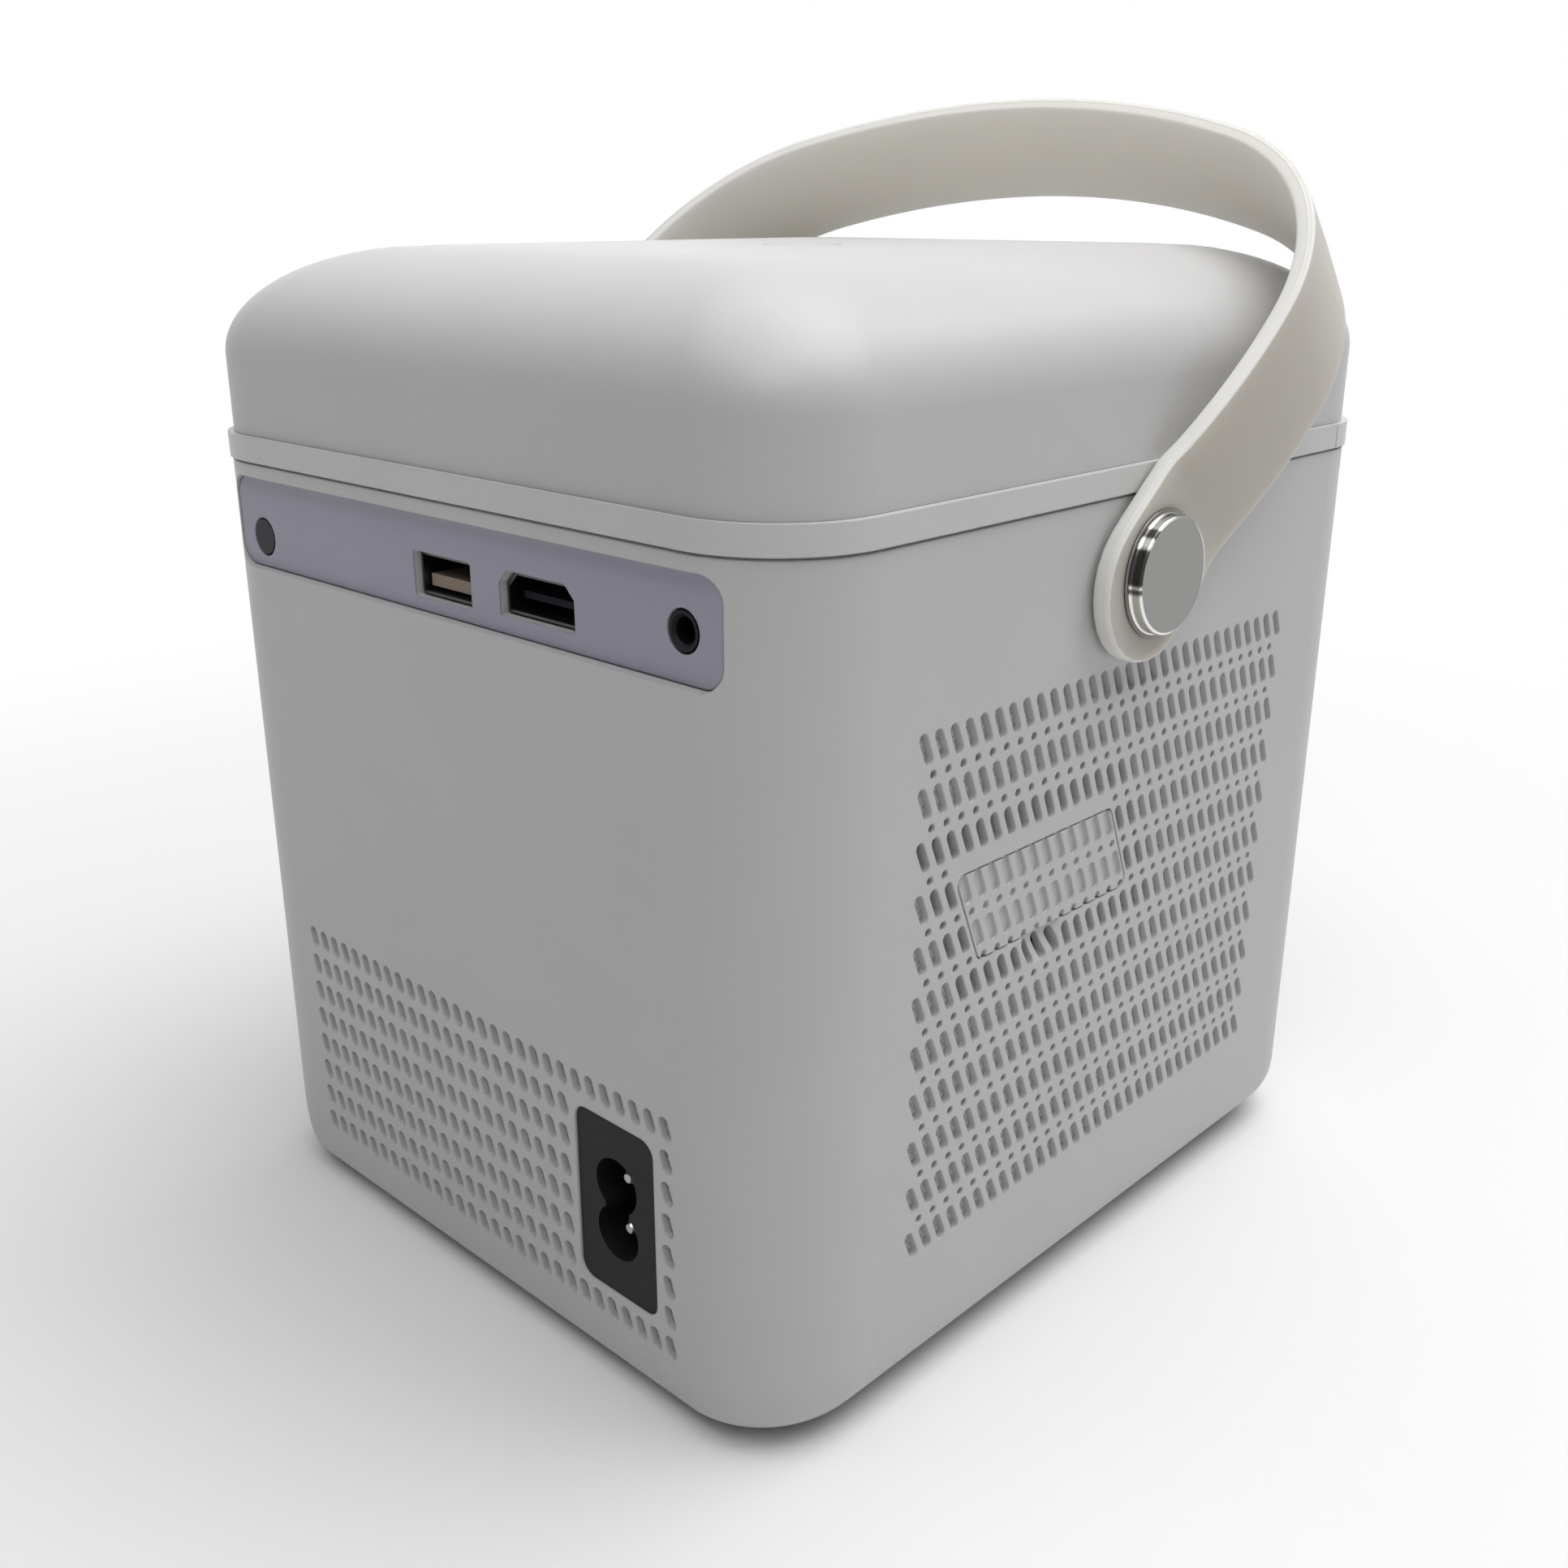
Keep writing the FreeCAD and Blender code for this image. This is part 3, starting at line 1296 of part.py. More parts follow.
def build():
    node("main_housing", main_housing())
    node("side_grilles", bundle([side_grille(True), side_grille(False)]))
    node("rear_grille", rear_grille())
    node("bottom_cover", bottom_cover())
    node("rubber_feet", rubber_feet())
    node("cover_screws", cover_screws())
    node("trim_band", trim_band())
    node("slot_bezel", slot_bezel())
    node("slot_felt", slot_felt())
    node("top_shell", top_shell())
    node("front_fascia", front_fascia())
    node("port_panel", port_panel())
    node("socket_shells", bundle([usb_socket(), hdmi_socket()]))
    node("socket_tongues", bundle([usb_tongue(), hdmi_tongue()]))
    node("headphone_socket", headphone_socket())
    node("ir_receiver", ir_receiver())
    node("mains_inlet", mains_inlet())
    node("inlet_pins", inlet_pins())
    node("filter_cover", filter_cover())
    node("dust_filter", dust_filter())
    node("grille_cloths", bundle([side_cloth(True), side_cloth(False), rear_cloth()]))
    for label, maker in (("speaker_frames", speaker_frame), ("speaker_cones", speaker_cone),
                         ("handle_caps", handle_cap), ("pivot_bushes", pivot_bush)):
        piece = maker()
        node(label, bundle([piece, mirrored(piece)]))
    pin = pivot_pin()
    clip = pin_clip()
    node("pivot_pins", bundle([pin, clip, mirrored(pin), mirrored(clip)]))
    node("strap_handle", strap_handle())
    node("power_button", power_button())
    node("button_board", button_board())
    node("small_screws", small_screws())
    node("focus_ring", focus_ring())
    node("lens_barrel", lens_barrel())
    node("lens_cell", lens_cell())
    node("lens_elements", lens_elements())
    node("engine_case", engine_case())
    node("led_board", led_board())
    node("led_heatsink", led_heatsink())
    node("engine_lenses", engine_lenses())
    node("lcd_panel", lcd_panel())
    node("fan_frame", fan_frame())
    node("fan_rotor", fan_rotor())
    node("base_tray", base_tray())
    node("power_board", power_board())
    node("main_board", main_board())
    node("drive_chassis", drive_chassis())
    node("guide_rods", guide_rods())
    node("clamp_bridge", clamp_bridge())
    node("clamp_carrier", clamp_carrier())
    node("clamp_puck", clamp_puck())
    node("spindle_motor", spindle_motor())
    node("turntable", turntable())
    node("pickup_sled", pickup_sled())
    node("feed_screw", feed_screw())
    node("feed_motor", feed_motor())
    node("loading_roller", loading_roller())
    node("roller_shaft", roller_shaft())
    node("idler_gear", idler_gear())
    node("roller_brackets", roller_brackets())
    node("motor_pinion", motor_pinion())
    node("loading_motor", loading_motor())


build()
doc.recompute()
faults = [thing.Name for thing in doc.Objects if {"Invalid", "Error"} & set(thing.State)]
for thing in nodes:
    shape = thing.Shape
    if shape.isNull() or not shape.isValid() or not shape.Solids:
        faults.append(thing.Label)
if faults:
    raise RuntimeError("not built: " + ", ".join(faults))
os.makedirs("parts", exist_ok=True)
for thing in nodes:
    thing.Shape.exportStep("parts/%s.step" % thing.Label)
print("%d sub-parts written" % len(nodes))
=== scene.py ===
import bpy
import bmesh
import json
import math
from mathutils import Matrix, Vector


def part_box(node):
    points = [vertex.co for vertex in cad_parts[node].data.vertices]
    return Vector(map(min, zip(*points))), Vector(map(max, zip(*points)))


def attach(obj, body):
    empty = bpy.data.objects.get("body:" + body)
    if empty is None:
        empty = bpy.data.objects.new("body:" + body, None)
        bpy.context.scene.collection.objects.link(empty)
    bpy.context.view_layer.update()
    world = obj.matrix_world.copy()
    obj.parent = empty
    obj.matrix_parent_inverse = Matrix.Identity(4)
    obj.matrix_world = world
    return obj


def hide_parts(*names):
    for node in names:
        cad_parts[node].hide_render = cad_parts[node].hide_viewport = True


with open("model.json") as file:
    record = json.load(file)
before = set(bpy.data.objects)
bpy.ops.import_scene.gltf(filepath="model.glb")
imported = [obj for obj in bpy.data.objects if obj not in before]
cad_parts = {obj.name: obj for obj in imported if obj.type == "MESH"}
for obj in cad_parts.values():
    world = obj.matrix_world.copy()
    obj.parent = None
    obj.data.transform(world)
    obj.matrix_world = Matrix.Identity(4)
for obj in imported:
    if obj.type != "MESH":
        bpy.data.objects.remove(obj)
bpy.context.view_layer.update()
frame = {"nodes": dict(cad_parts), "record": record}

nodes = frame["nodes"]
slotOf = {row["node"]: row["material_slot"] for row in frame["record"]["subparts"]}
joints = {joint["name"]: joint for joint in frame["record"]["behaviour"]["joints"]}
mm = 0.001
print("frame loaded:", len(nodes), "nodes")


# shader helpers
def newMat(name):
    mat = bpy.data.materials.new(name)
    mat.use_nodes = True
    tree = mat.node_tree
    return mat, tree, tree.nodes["Principled BSDF"]


def addNode(tree, kind, **values):
    node = tree.nodes.new(kind)
    for key, value in values.items():
        if hasattr(node, key):
            setattr(node, key, value)
        else:
            node.inputs[key].default_value = value
    return node


def wire(tree, source, target):
    tree.links.new(source, target)


def noiseAt(tree, scale, detail=3.0, roughness=0.55):
    coords = addNode(tree, "ShaderNodeTexCoord")
    noise = addNode(tree, "ShaderNodeTexNoise", Scale=scale, Detail=detail, Roughness=roughness)
    wire(tree, coords.outputs["Object"], noise.inputs["Vector"])
    return noise


def ramp(tree, source, low, high, lowPos=0.35, highPos=0.65):
    node = addNode(tree, "ShaderNodeValToRGB")
    ends = node.color_ramp.elements
    ends[0].position = lowPos
    ends[0].color = (*low, 1)
    ends[1].position = highPos
    ends[1].color = (*high, 1)
    wire(tree, source, node.inputs["Fac"])
    return node


def span(tree, source, low, high, lowTo, highTo):
    node = addNode(tree, "ShaderNodeMapRange")
    for key, value in (("From Min", low), ("From Max", high), ("To Min", lowTo), ("To Max", highTo)):
        node.inputs[key].default_value = value
    wire(tree, source, node.inputs["Value"])
    return node


def calc(tree, operation, first, second=0.0):
    node = addNode(tree, "ShaderNodeMath", operation=operation)
    for socket, value in zip(node.inputs, (first, second)):
        if isinstance(value, float):
            socket.default_value = value
        else:
            wire(tree, value, socket)
    return node.outputs["Value"]


# from 0 to 1 at a value, over a narrow band each way
def stepAt(tree, source, value, band):
    return span(tree, source, value - band, value + band, 0, 1)


def blendColors(tree, factor, first, second):
    node = addNode(tree, "ShaderNodeMix", data_type="RGBA")
    wire(tree, factor, node.inputs["Factor"])
    for socket, color in (("A", first), ("B", second)):
        if isinstance(color, tuple):
            node.inputs[socket].default_value = (*color, 1)
        else:
            wire(tree, color, node.inputs[socket])
    return node.outputs["Result"]


def dimmed(color, amount):
    return tuple(channel * amount for channel in color)


def placeAlong(tree, axis):
    coords = addNode(tree, "ShaderNodeTexCoord")
    split = addNode(tree, "ShaderNodeSeparateXYZ")
    wire(tree, coords.outputs["Object"], split.inputs["Vector"])
    return split.outputs[axis]


# 0 on the outline of a box seen along the third axis, 1 away from it
def offOutline(tree, axes, box):
    overs = []
    for axis in axes:
        low, high = (corner["XYZ".index(axis)] for corner in box)
        offset = calc(tree, "SUBTRACT", placeAlong(tree, axis), (low + high) / 2)
        overs.append(calc(tree, "SUBTRACT", calc(tree, "ABSOLUTE", offset), (high - low) / 2))
    over = calc(tree, "ABSOLUTE", calc(tree, "MAXIMUM", *overs))
    return stepAt(tree, over, 0.7 * mm, 0.1 * mm).outputs["Result"]


# fine eroded texture of moulded plastic, with edges that catch the light
def plasticMat(name, finish):
    mat, tree, bsdf = newMat(name)
    base = finish["color"]
    shade = finish.get("mottle", 0.012)
    tint = noiseAt(tree, finish.get("mottleScale", 45))
    colors = ramp(tree, tint.outputs["Fac"], dimmed(base, 1 - shade), dimmed(base, 1 + shade))
    color = colors.outputs["Color"]
    if "behind" in finish:
        # colour of the same moulding beyond a plane: axis, place, colour
        axis, place, second = finish["behind"]
        side = stepAt(tree, placeAlong(tree, axis), place, 0.01 * mm)
        color = blendColors(tree, side.outputs["Result"], second, color)
    wire(tree, color, bsdf.inputs["Base Color"])
    sheen = noiseAt(tree, 900, 2)
    spread = span(tree, sheen.outputs["Fac"], 0, 1, finish["roughness"] - 0.04, finish["roughness"] + 0.04)
    wire(tree, spread.outputs["Result"], bsdf.inputs["Roughness"])
    grain = noiseAt(tree, finish.get("grainScale", 2600), 2)
    bump = addNode(tree, "ShaderNodeBump", Strength=finish.get("grain", 0.1), Distance=0.0002)
    wire(tree, grain.outputs["Fac"], bump.inputs["Height"])
    if "edge" in finish:
        soft = addNode(tree, "ShaderNodeBevel", samples=6, Radius=finish["edge"])
        if "flush" in finish:
            # the inserts sit flush, so nothing is rounded along their joints
            clear = [offOutline(tree, axes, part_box(insert)) for axes, insert in finish["flush"]]
            radius = calc(tree, "MULTIPLY", calc(tree, "MULTIPLY", *clear), finish["edge"])
            wire(tree, radius, soft.inputs["Radius"])
        wire(tree, soft.outputs["Normal"], bump.inputs["Normal"])
    wire(tree, bump.outputs["Normal"], bsdf.inputs["Normal"])
    bsdf.inputs["Specular IOR Level"].default_value = finish.get("specular", 0.5)
    bsdf.inputs["Coat Weight"].default_value = finish.get("coat", 0.0)
    bsdf.inputs["Coat Roughness"].default_value = finish.get("coatRoughness", 0.1)
    return mat


def metalMat(name, finish):
    mat, tree, bsdf = newMat(name)
    bsdf.inputs["Metallic"].default_value = 1.0
    wear = noiseAt(tree, finish.get("scale", 220), 4)
    colors = ramp(tree, wear.outputs["Fac"], dimmed(finish["color"], 0.93), finish["color"])
    wire(tree, colors.outputs["Color"], bsdf.inputs["Base Color"])
    spread = span(tree, wear.outputs["Fac"], 0, 1, finish["roughness"] * 0.8, finish["roughness"] * 1.2)
    wire(tree, spread.outputs["Result"], bsdf.inputs["Roughness"])
    return mat


def clothMat(name, finish):
    mat, tree, bsdf = newMat(name)
    coords = addNode(tree, "ShaderNodeTexCoord")
    weave = addNode(tree, "ShaderNodeTexChecker", Scale=finish.get("threads", 1600))
    weave.inputs["Color1"].default_value = (*finish["color"], 1)
    weave.inputs["Color2"].default_value = (*dimmed(finish["color"], 0.7), 1)
    wire(tree, coords.outputs["Object"], weave.inputs["Vector"])
    wire(tree, weave.outputs["Color"], bsdf.inputs["Base Color"])
    bump = addNode(tree, "ShaderNodeBump", Strength=0.5, Distance=0.0003)
    wire(tree, weave.outputs["Fac"], bump.inputs["Height"])
    wire(tree, bump.outputs["Normal"], bsdf.inputs["Normal"])
    bsdf.inputs["Roughness"].default_value = 0.9
    bsdf.inputs["Sheen Weight"].default_value = 0.2
    return mat


# lens glass with a thin violet coating that shows towards the rim
def glassMat(name, finish):
    mat, tree, bsdf = newMat(name)
    coating = addNode(tree, "ShaderNodeLayerWeight", Blend=0.35)
    colors = ramp(tree, coating.outputs["Facing"], finish["color"], finish["rim"], 0.2, 0.9)
    wire(tree, colors.outputs["Color"], bsdf.inputs["Base Color"])
    bsdf.inputs["Transmission Weight"].default_value = finish.get("clear", 0.85)
    bsdf.inputs["Roughness"].default_value = 0.03
    bsdf.inputs["IOR"].default_value = 1.5
    return mat


def boardMat(name, finish):
    mat, tree, bsdf = newMat(name)
    coords = addNode(tree, "ShaderNodeTexCoord")
    tracks = addNode(tree, "ShaderNodeTexBrick", Scale=260)
    tracks.inputs["Color1"].default_value = (*finish["color"], 1)
    tracks.inputs["Color2"].default_value = (*dimmed(finish["color"], 0.8), 1)
    tracks.inputs["Mortar"].default_value = (*dimmed(finish["color"], 1.5), 1)
    wire(tree, coords.outputs["Object"], tracks.inputs["Vector"])
    wire(tree, tracks.outputs["Color"], bsdf.inputs["Base Color"])
    bsdf.inputs["Roughness"].default_value = 0.35
    return mat


# soft-touch moulded rubber: clouded colour, very fine skin, and a paler colour mixed in by a vertex
# attribute as painted light on the edge and the lining
def rubberMat(name, finish):
    mat, tree, bsdf = newMat(name)
    cloud = noiseAt(tree, finish["cloudScale"], 4)
    colors = ramp(tree, cloud.outputs["Fac"], finish["shade"], finish["color"], 0.3, 0.7)
    # painted light: a paler colour mixed in by the vertex attribute, on the strap's edge and lining
    paintedLight = addNode(tree, "ShaderNodeAttribute", attribute_name="paintedLight")
    color = blendColors(tree, paintedLight.outputs["Fac"], colors.outputs["Color"], finish["pale"])
    wire(tree, color, bsdf.inputs["Base Color"])
    skin = noiseAt(tree, 3200, 2)
    scuffs = noiseAt(tree, 260, 5, 0.7)
    rough = finish["roughness"]
    marks = span(tree, scuffs.outputs["Fac"], 0.3, 0.7, rough - 0.06, rough + 0.06)
    wire(tree, marks.outputs["Result"], bsdf.inputs["Roughness"])
    bump = addNode(tree, "ShaderNodeBump", Strength=finish["grain"], Distance=0.0002)
    wire(tree, skin.outputs["Fac"], bump.inputs["Height"])
    wire(tree, bump.outputs["Normal"], bsdf.inputs["Normal"])
    bsdf.inputs["Specular IOR Level"].default_value = 0.35
    bsdf.inputs["Sheen Weight"].default_value = finish["sheen"]
    bsdf.inputs["Subsurface Weight"].default_value = finish["glow"]
    bsdf.inputs["Subsurface Radius"].default_value = (1.0, 0.9, 0.8)
    bsdf.inputs["Subsurface Scale"].default_value = finish["glowReach"] * mm
    return mat


# cap metal: satin face inside a radius, mirror-finish wall with bright and dark stripes painted round it as
# painted reflection of a lit room
def capMat(name, finish):
    mat, tree, bsdf = newMat(name)
    bsdf.inputs["Metallic"].default_value = 1.0
    coords = addNode(tree, "ShaderNodeTexCoord")
    centred = addNode(tree, "ShaderNodeVectorMath", operation="SUBTRACT")
    centred.inputs[1].default_value = joints["handle_swing"]["pos_m"]
    flat = addNode(tree, "ShaderNodeVectorMath", operation="MULTIPLY")
    flat.inputs[1].default_value = (0, 1, 1)
    radius = addNode(tree, "ShaderNodeVectorMath", operation="LENGTH")
    wire(tree, coords.outputs["Object"], centred.inputs[0])
    wire(tree, centred.outputs["Vector"], flat.inputs[0])
    wire(tree, flat.outputs["Vector"], radius.inputs[0])
    split = addNode(tree, "ShaderNodeSeparateXYZ")
    wire(tree, centred.outputs["Vector"], split.inputs["Vector"])
    angle = calc(tree, "ARCTAN2", split.outputs["Z"], split.outputs["Y"])
    turn = span(tree, angle, -math.pi, math.pi, 0, 1)
    # painted reflection: bright and dark stripes by angle round the cap's wall
    paintedReflections = addNode(tree, "ShaderNodeValToRGB")
    stops = paintedReflections.color_ramp.elements
    while len(stops) < len(finish["paintedReflections"]):
        stops.new(1.0)
    for stop, (degrees, level) in zip(stops, finish["paintedReflections"]):
        stop.position = (degrees + 180) / 360
        stop.color = (*dimmed(finish["rim"], level), 1)
    wire(tree, turn.outputs["Result"], paintedReflections.inputs["Fac"])
    rim = stepAt(tree, radius.outputs["Value"], finish["faceRadius"] * mm, 0.05 * mm)
    # the foot ring's dark colour is partly its own and partly painted shade of the groove where the cap
    # sits on the strap
    foot = stepAt(tree, radius.outputs["Value"], (finish["footRadius"] + 0.05) * mm, 0.05 * mm)
    paintedRimShading = blendColors(tree, foot.outputs["Result"], paintedReflections.outputs["Color"], finish["foot"])
    color = blendColors(tree, rim.outputs["Result"], finish["face"], paintedRimShading)
    wire(tree, color, bsdf.inputs["Base Color"])
    polish = span(tree, rim.outputs["Result"], 0, 1, finish["faceRoughness"], finish["rimRoughness"])
    wire(tree, polish.outputs["Result"], bsdf.inputs["Roughness"])
    lines = noiseAt(tree, 1800, 2)
    bump = addNode(tree, "ShaderNodeBump", Strength=0.02, Distance=0.0001)
    wire(tree, lines.outputs["Fac"], bump.inputs["Height"])
    wire(tree, bump.outputs["Normal"], bsdf.inputs["Normal"])
    return mat


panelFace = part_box("port_panel")[1][1]
betweenSockets = (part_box("socket_tongues")[0][0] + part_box("socket_tongues")[1][0]) / 2
finishes = {
    "shell": (plasticMat, {"color": (0.60, 0.597, 0.60), "roughness": 0.4, "edge": 0.0004, "specular": 0.42,
                           "flush": (("YZ", "side_grilles"), ("XZ", "rear_grille"))}),
    "band": (plasticMat, {"color": (0.64, 0.64, 0.64), "roughness": 0.36, "edge": 0.0003}),
    "panel": (plasticMat, {"color": (0.36, 0.345, 0.43), "roughness": 0.42, "edge": 0.0003,
                           "behind": ("Y", panelFace - 0.0002, (0.66, 0.66, 0.65))}),
    "dark_plastic": (plasticMat, {"color": (0.009, 0.009, 0.010), "roughness": 0.45, "mottle": 0.1,
                                  "specular": 0.2}),
    "gloss_black": (plasticMat, {"color": (0.008, 0.007, 0.014), "roughness": 0.12, "grain": 0.0,
                                 "coat": 0.5, "mottle": 0.05}),
    # the strap's pale colour is painted light for its edge and lining
    "strap": (rubberMat, {"color": (0.60, 0.575, 0.52), "shade": (0.57, 0.54, 0.49),
                          "pale": (0.84, 0.82, 0.77), "cloudScale": 30, "grain": 0.03, "roughness": 0.5,
                          "sheen": 0.15, "glow": 0.7, "glowReach": 6.0}),
    # the cap's angle stops are painted reflection on the rim, and its dark foot colour is partly painted
    # shade
    "cap": (capMat, {"rim": (0.86, 0.86, 0.83), "face": (0.27, 0.27, 0.265), "foot": (0.16, 0.15, 0.14),
                     "faceRadius": 8.2, "footRadius": 8.75, "faceRoughness": 0.32, "rimRoughness": 0.06,
                     "paintedReflections": ((-180, 0.9), (-150, 0.35), (-100, 0.5), (-88, 0.95), (-12, 0.9),
                               (-9, 0.12), (-6, 0.12), (-4, 0.9), (-1, 0.05), (32, 0.06), (37, 0.95),
                               (44, 0.95), (47, 0.1), (56, 0.12), (59, 0.95), (78, 0.85), (90, 0.4),
                               (120, 0.3), (150, 0.9))}),
    "steel": (metalMat, {"color": (0.55, 0.55, 0.56), "roughness": 0.28}),
    "zinc": (metalMat, {"color": (0.52, 0.53, 0.54), "roughness": 0.4}),
    "aluminium": (metalMat, {"color": (0.72, 0.72, 0.73), "roughness": 0.35}),
    "brass": (metalMat, {"color": (0.70, 0.50, 0.22), "roughness": 0.25}),
    "rubber": (plasticMat, {"color": (0.50, 0.50, 0.50), "roughness": 0.8, "specular": 0.3}),
    "black_rubber": (plasticMat, {"color": (0.015, 0.015, 0.015), "roughness": 0.8, "specular": 0.3,
                                  "mottle": 0.1}),
    "cloth": (clothMat, {"color": (0.66, 0.66, 0.66)}),
    "felt": (clothMat, {"color": (0.02, 0.02, 0.02), "threads": 2600}),
    "foam": (clothMat, {"color": (0.10, 0.10, 0.105), "threads": 900}),
    "glass": (glassMat, {"color": (0.80, 0.86, 0.92), "rim": (0.35, 0.25, 0.6)}),
    "board": (boardMat, {"color": (0.01, 0.09, 0.03)}),
    "cone": (clothMat, {"color": (0.03, 0.03, 0.03), "threads": 500}),
    "white_plastic": (plasticMat, {"color": (0.58, 0.55, 0.50), "roughness": 0.5}),
}
# nodes that differ from their slot: socket shells near black as painted shade of the deep socket openings,
# a dim headphone socket, and tongues of which one is black and one pale
nodeFinishes = {
    "socket_tongues": (plasticMat, {"color": (0.42, 0.34, 0.28), "roughness": 0.6, "specular": 0.1,
                                    "behind": ("X", betweenSockets, (0.008, 0.009, 0.016))}),
    "socket_shells": (metalMat, {"color": (0.09, 0.09, 0.095), "roughness": 0.35}),
    "headphone_socket": (plasticMat, {"color": (0.006, 0.006, 0.009), "roughness": 0.5, "specular": 0.15}),
    "ir_receiver": (plasticMat, {"color": (0.012, 0.009, 0.02), "roughness": 0.3, "grain": 0.0,
                                 "specular": 0.12}),
}
mats = {name: make(name, finish) for name, (make, finish) in {**finishes, **nodeFinishes}.items()}

for name, obj in nodes.items():
    obj.data.materials.clear()
    obj.data.materials.append(mats[name] if name in nodeFinishes else mats[slotOf[name]])
print("finishes on", len(nodes), "nodes")


# millimetres, drawn upright about the pivots and then leaned towards the lens
strap = {
    "pivotHeight": joints["handle_swing"]["pos_m"][2] / mm,
    "lean": 47,
    "half": 74.8,
    "crest": 88.7,
    "thick": 3.0,
    "shoulder": 41.0,
    "cornerX": 33.2,
    "crestTurn": 20.9,
    "tabX": 70.7,
    "tabEnd": 11.3,
    "tabDrop": 2.1,
    "seatTop": 10.2,
    "bend": 12.0,
    "halfWidth": 10.25,
    "neck": 15.0,
    "edgeRound": 0.35,
    # share of painted light on the lining, where 1 gives the whole inner face the pale colour
    "liningPaintedLight": 1.0,
    "crown": 0.12,
    "mouldLine": 0.16,
    "mouldPlace": 0.7,
    "edgeRows": (0.03, 0.12, 0.35, 0.6, 0.66, 0.7, 0.74, 0.88, 0.97),
    "fan": 14,
    "seatRows": 8,
    "bendRows": 5,
    "longRows": 12,
    "cornerRows": 24,
    "crestRows": 16,
    "insets": (0, 0.03, 0.1, 0.2, 0.35, 0.5, 0.9, 2.0, 3.2, 5.0, 7.5),
}


# stations of the strap's middle surface from pivot to crest: place and outward normal in X and Z
def strapStations():
    half = strap["half"]
    middle = strap["thick"] / 2
    rise = strap["shoulder"] - strap["seatTop"]
    reach = half - strap["tabX"]
    radii = (reach ** 2 + rise ** 2) / (2 * reach)
    slope = math.asin(rise / radii)
    longBend = radii - strap["bend"]
    stations = []
    for step in range(strap["seatRows"]):
        z = -strap["tabDrop"] + (strap["seatTop"] + strap["tabDrop"]) * step / strap["seatRows"]
        stations.append((strap["tabX"] - middle, z, 1.0, 0.0))
    for step in range(strap["bendRows"]):
        turn = slope * step / strap["bendRows"]
        x = strap["tabX"] - middle + strap["bend"] * (1 - math.cos(turn))
        z = strap["seatTop"] + strap["bend"] * math.sin(turn)
        stations.append((x, z, math.cos(turn), -math.sin(turn)))
    for step in range(strap["longRows"]):
        turn = slope * (1 - step / strap["longRows"])
        x = half - middle - longBend * (1 - math.cos(turn))
        z = strap["shoulder"] - longBend * math.sin(turn)
        stations.append((x, z, math.cos(turn), -math.sin(turn)))
    corner = half - strap["cornerX"] - middle
    sweep = math.radians(90 - strap["crestTurn"])
    for step in range(strap["cornerRows"]):
        turn = sweep * step / strap["cornerRows"]
        across, up = math.cos(turn), math.sin(turn)
        stations.append((strap["cornerX"] + corner * across, strap["shoulder"] + corner * up, across, up))
    topX = strap["cornerX"] + corner * math.cos(sweep)
    topZ = strap["shoulder"] + corner * math.sin(sweep)
    drop = strap["crest"] - middle - topZ
    arch = (topX ** 2 + drop ** 2) / (2 * drop)
    flare = math.asin(topX / arch)
    for step in range(strap["crestRows"] + 1):
        turn = flare * (1 - step / strap["crestRows"])
        across, up = math.sin(turn), math.cos(turn)
        stations.append((arch * across, strap["crest"] - middle - arch * (1 - up), across, up))
    return stations


def strapHalfWidth(z):
    if z <= 0:
        return strap["tabEnd"]
    if z >= strap["neck"]:
        return strap["halfWidth"]
    return strap["tabEnd"] + (strap["halfWidth"] - strap["tabEnd"]) * z / strap["neck"]


# half the thickness at a distance in from the outline: a rounded edge, then a slight crown
def strapRise(inset, reach):
    rounding = strap["edgeRound"]
    rise = strap["thick"] / 2 - strap["crown"]
    if inset < rounding:
        rise += math.sqrt(rounding ** 2 - (rounding - inset) ** 2) - rounding
    return rise + strap["crown"] * min(inset / reach, 1)


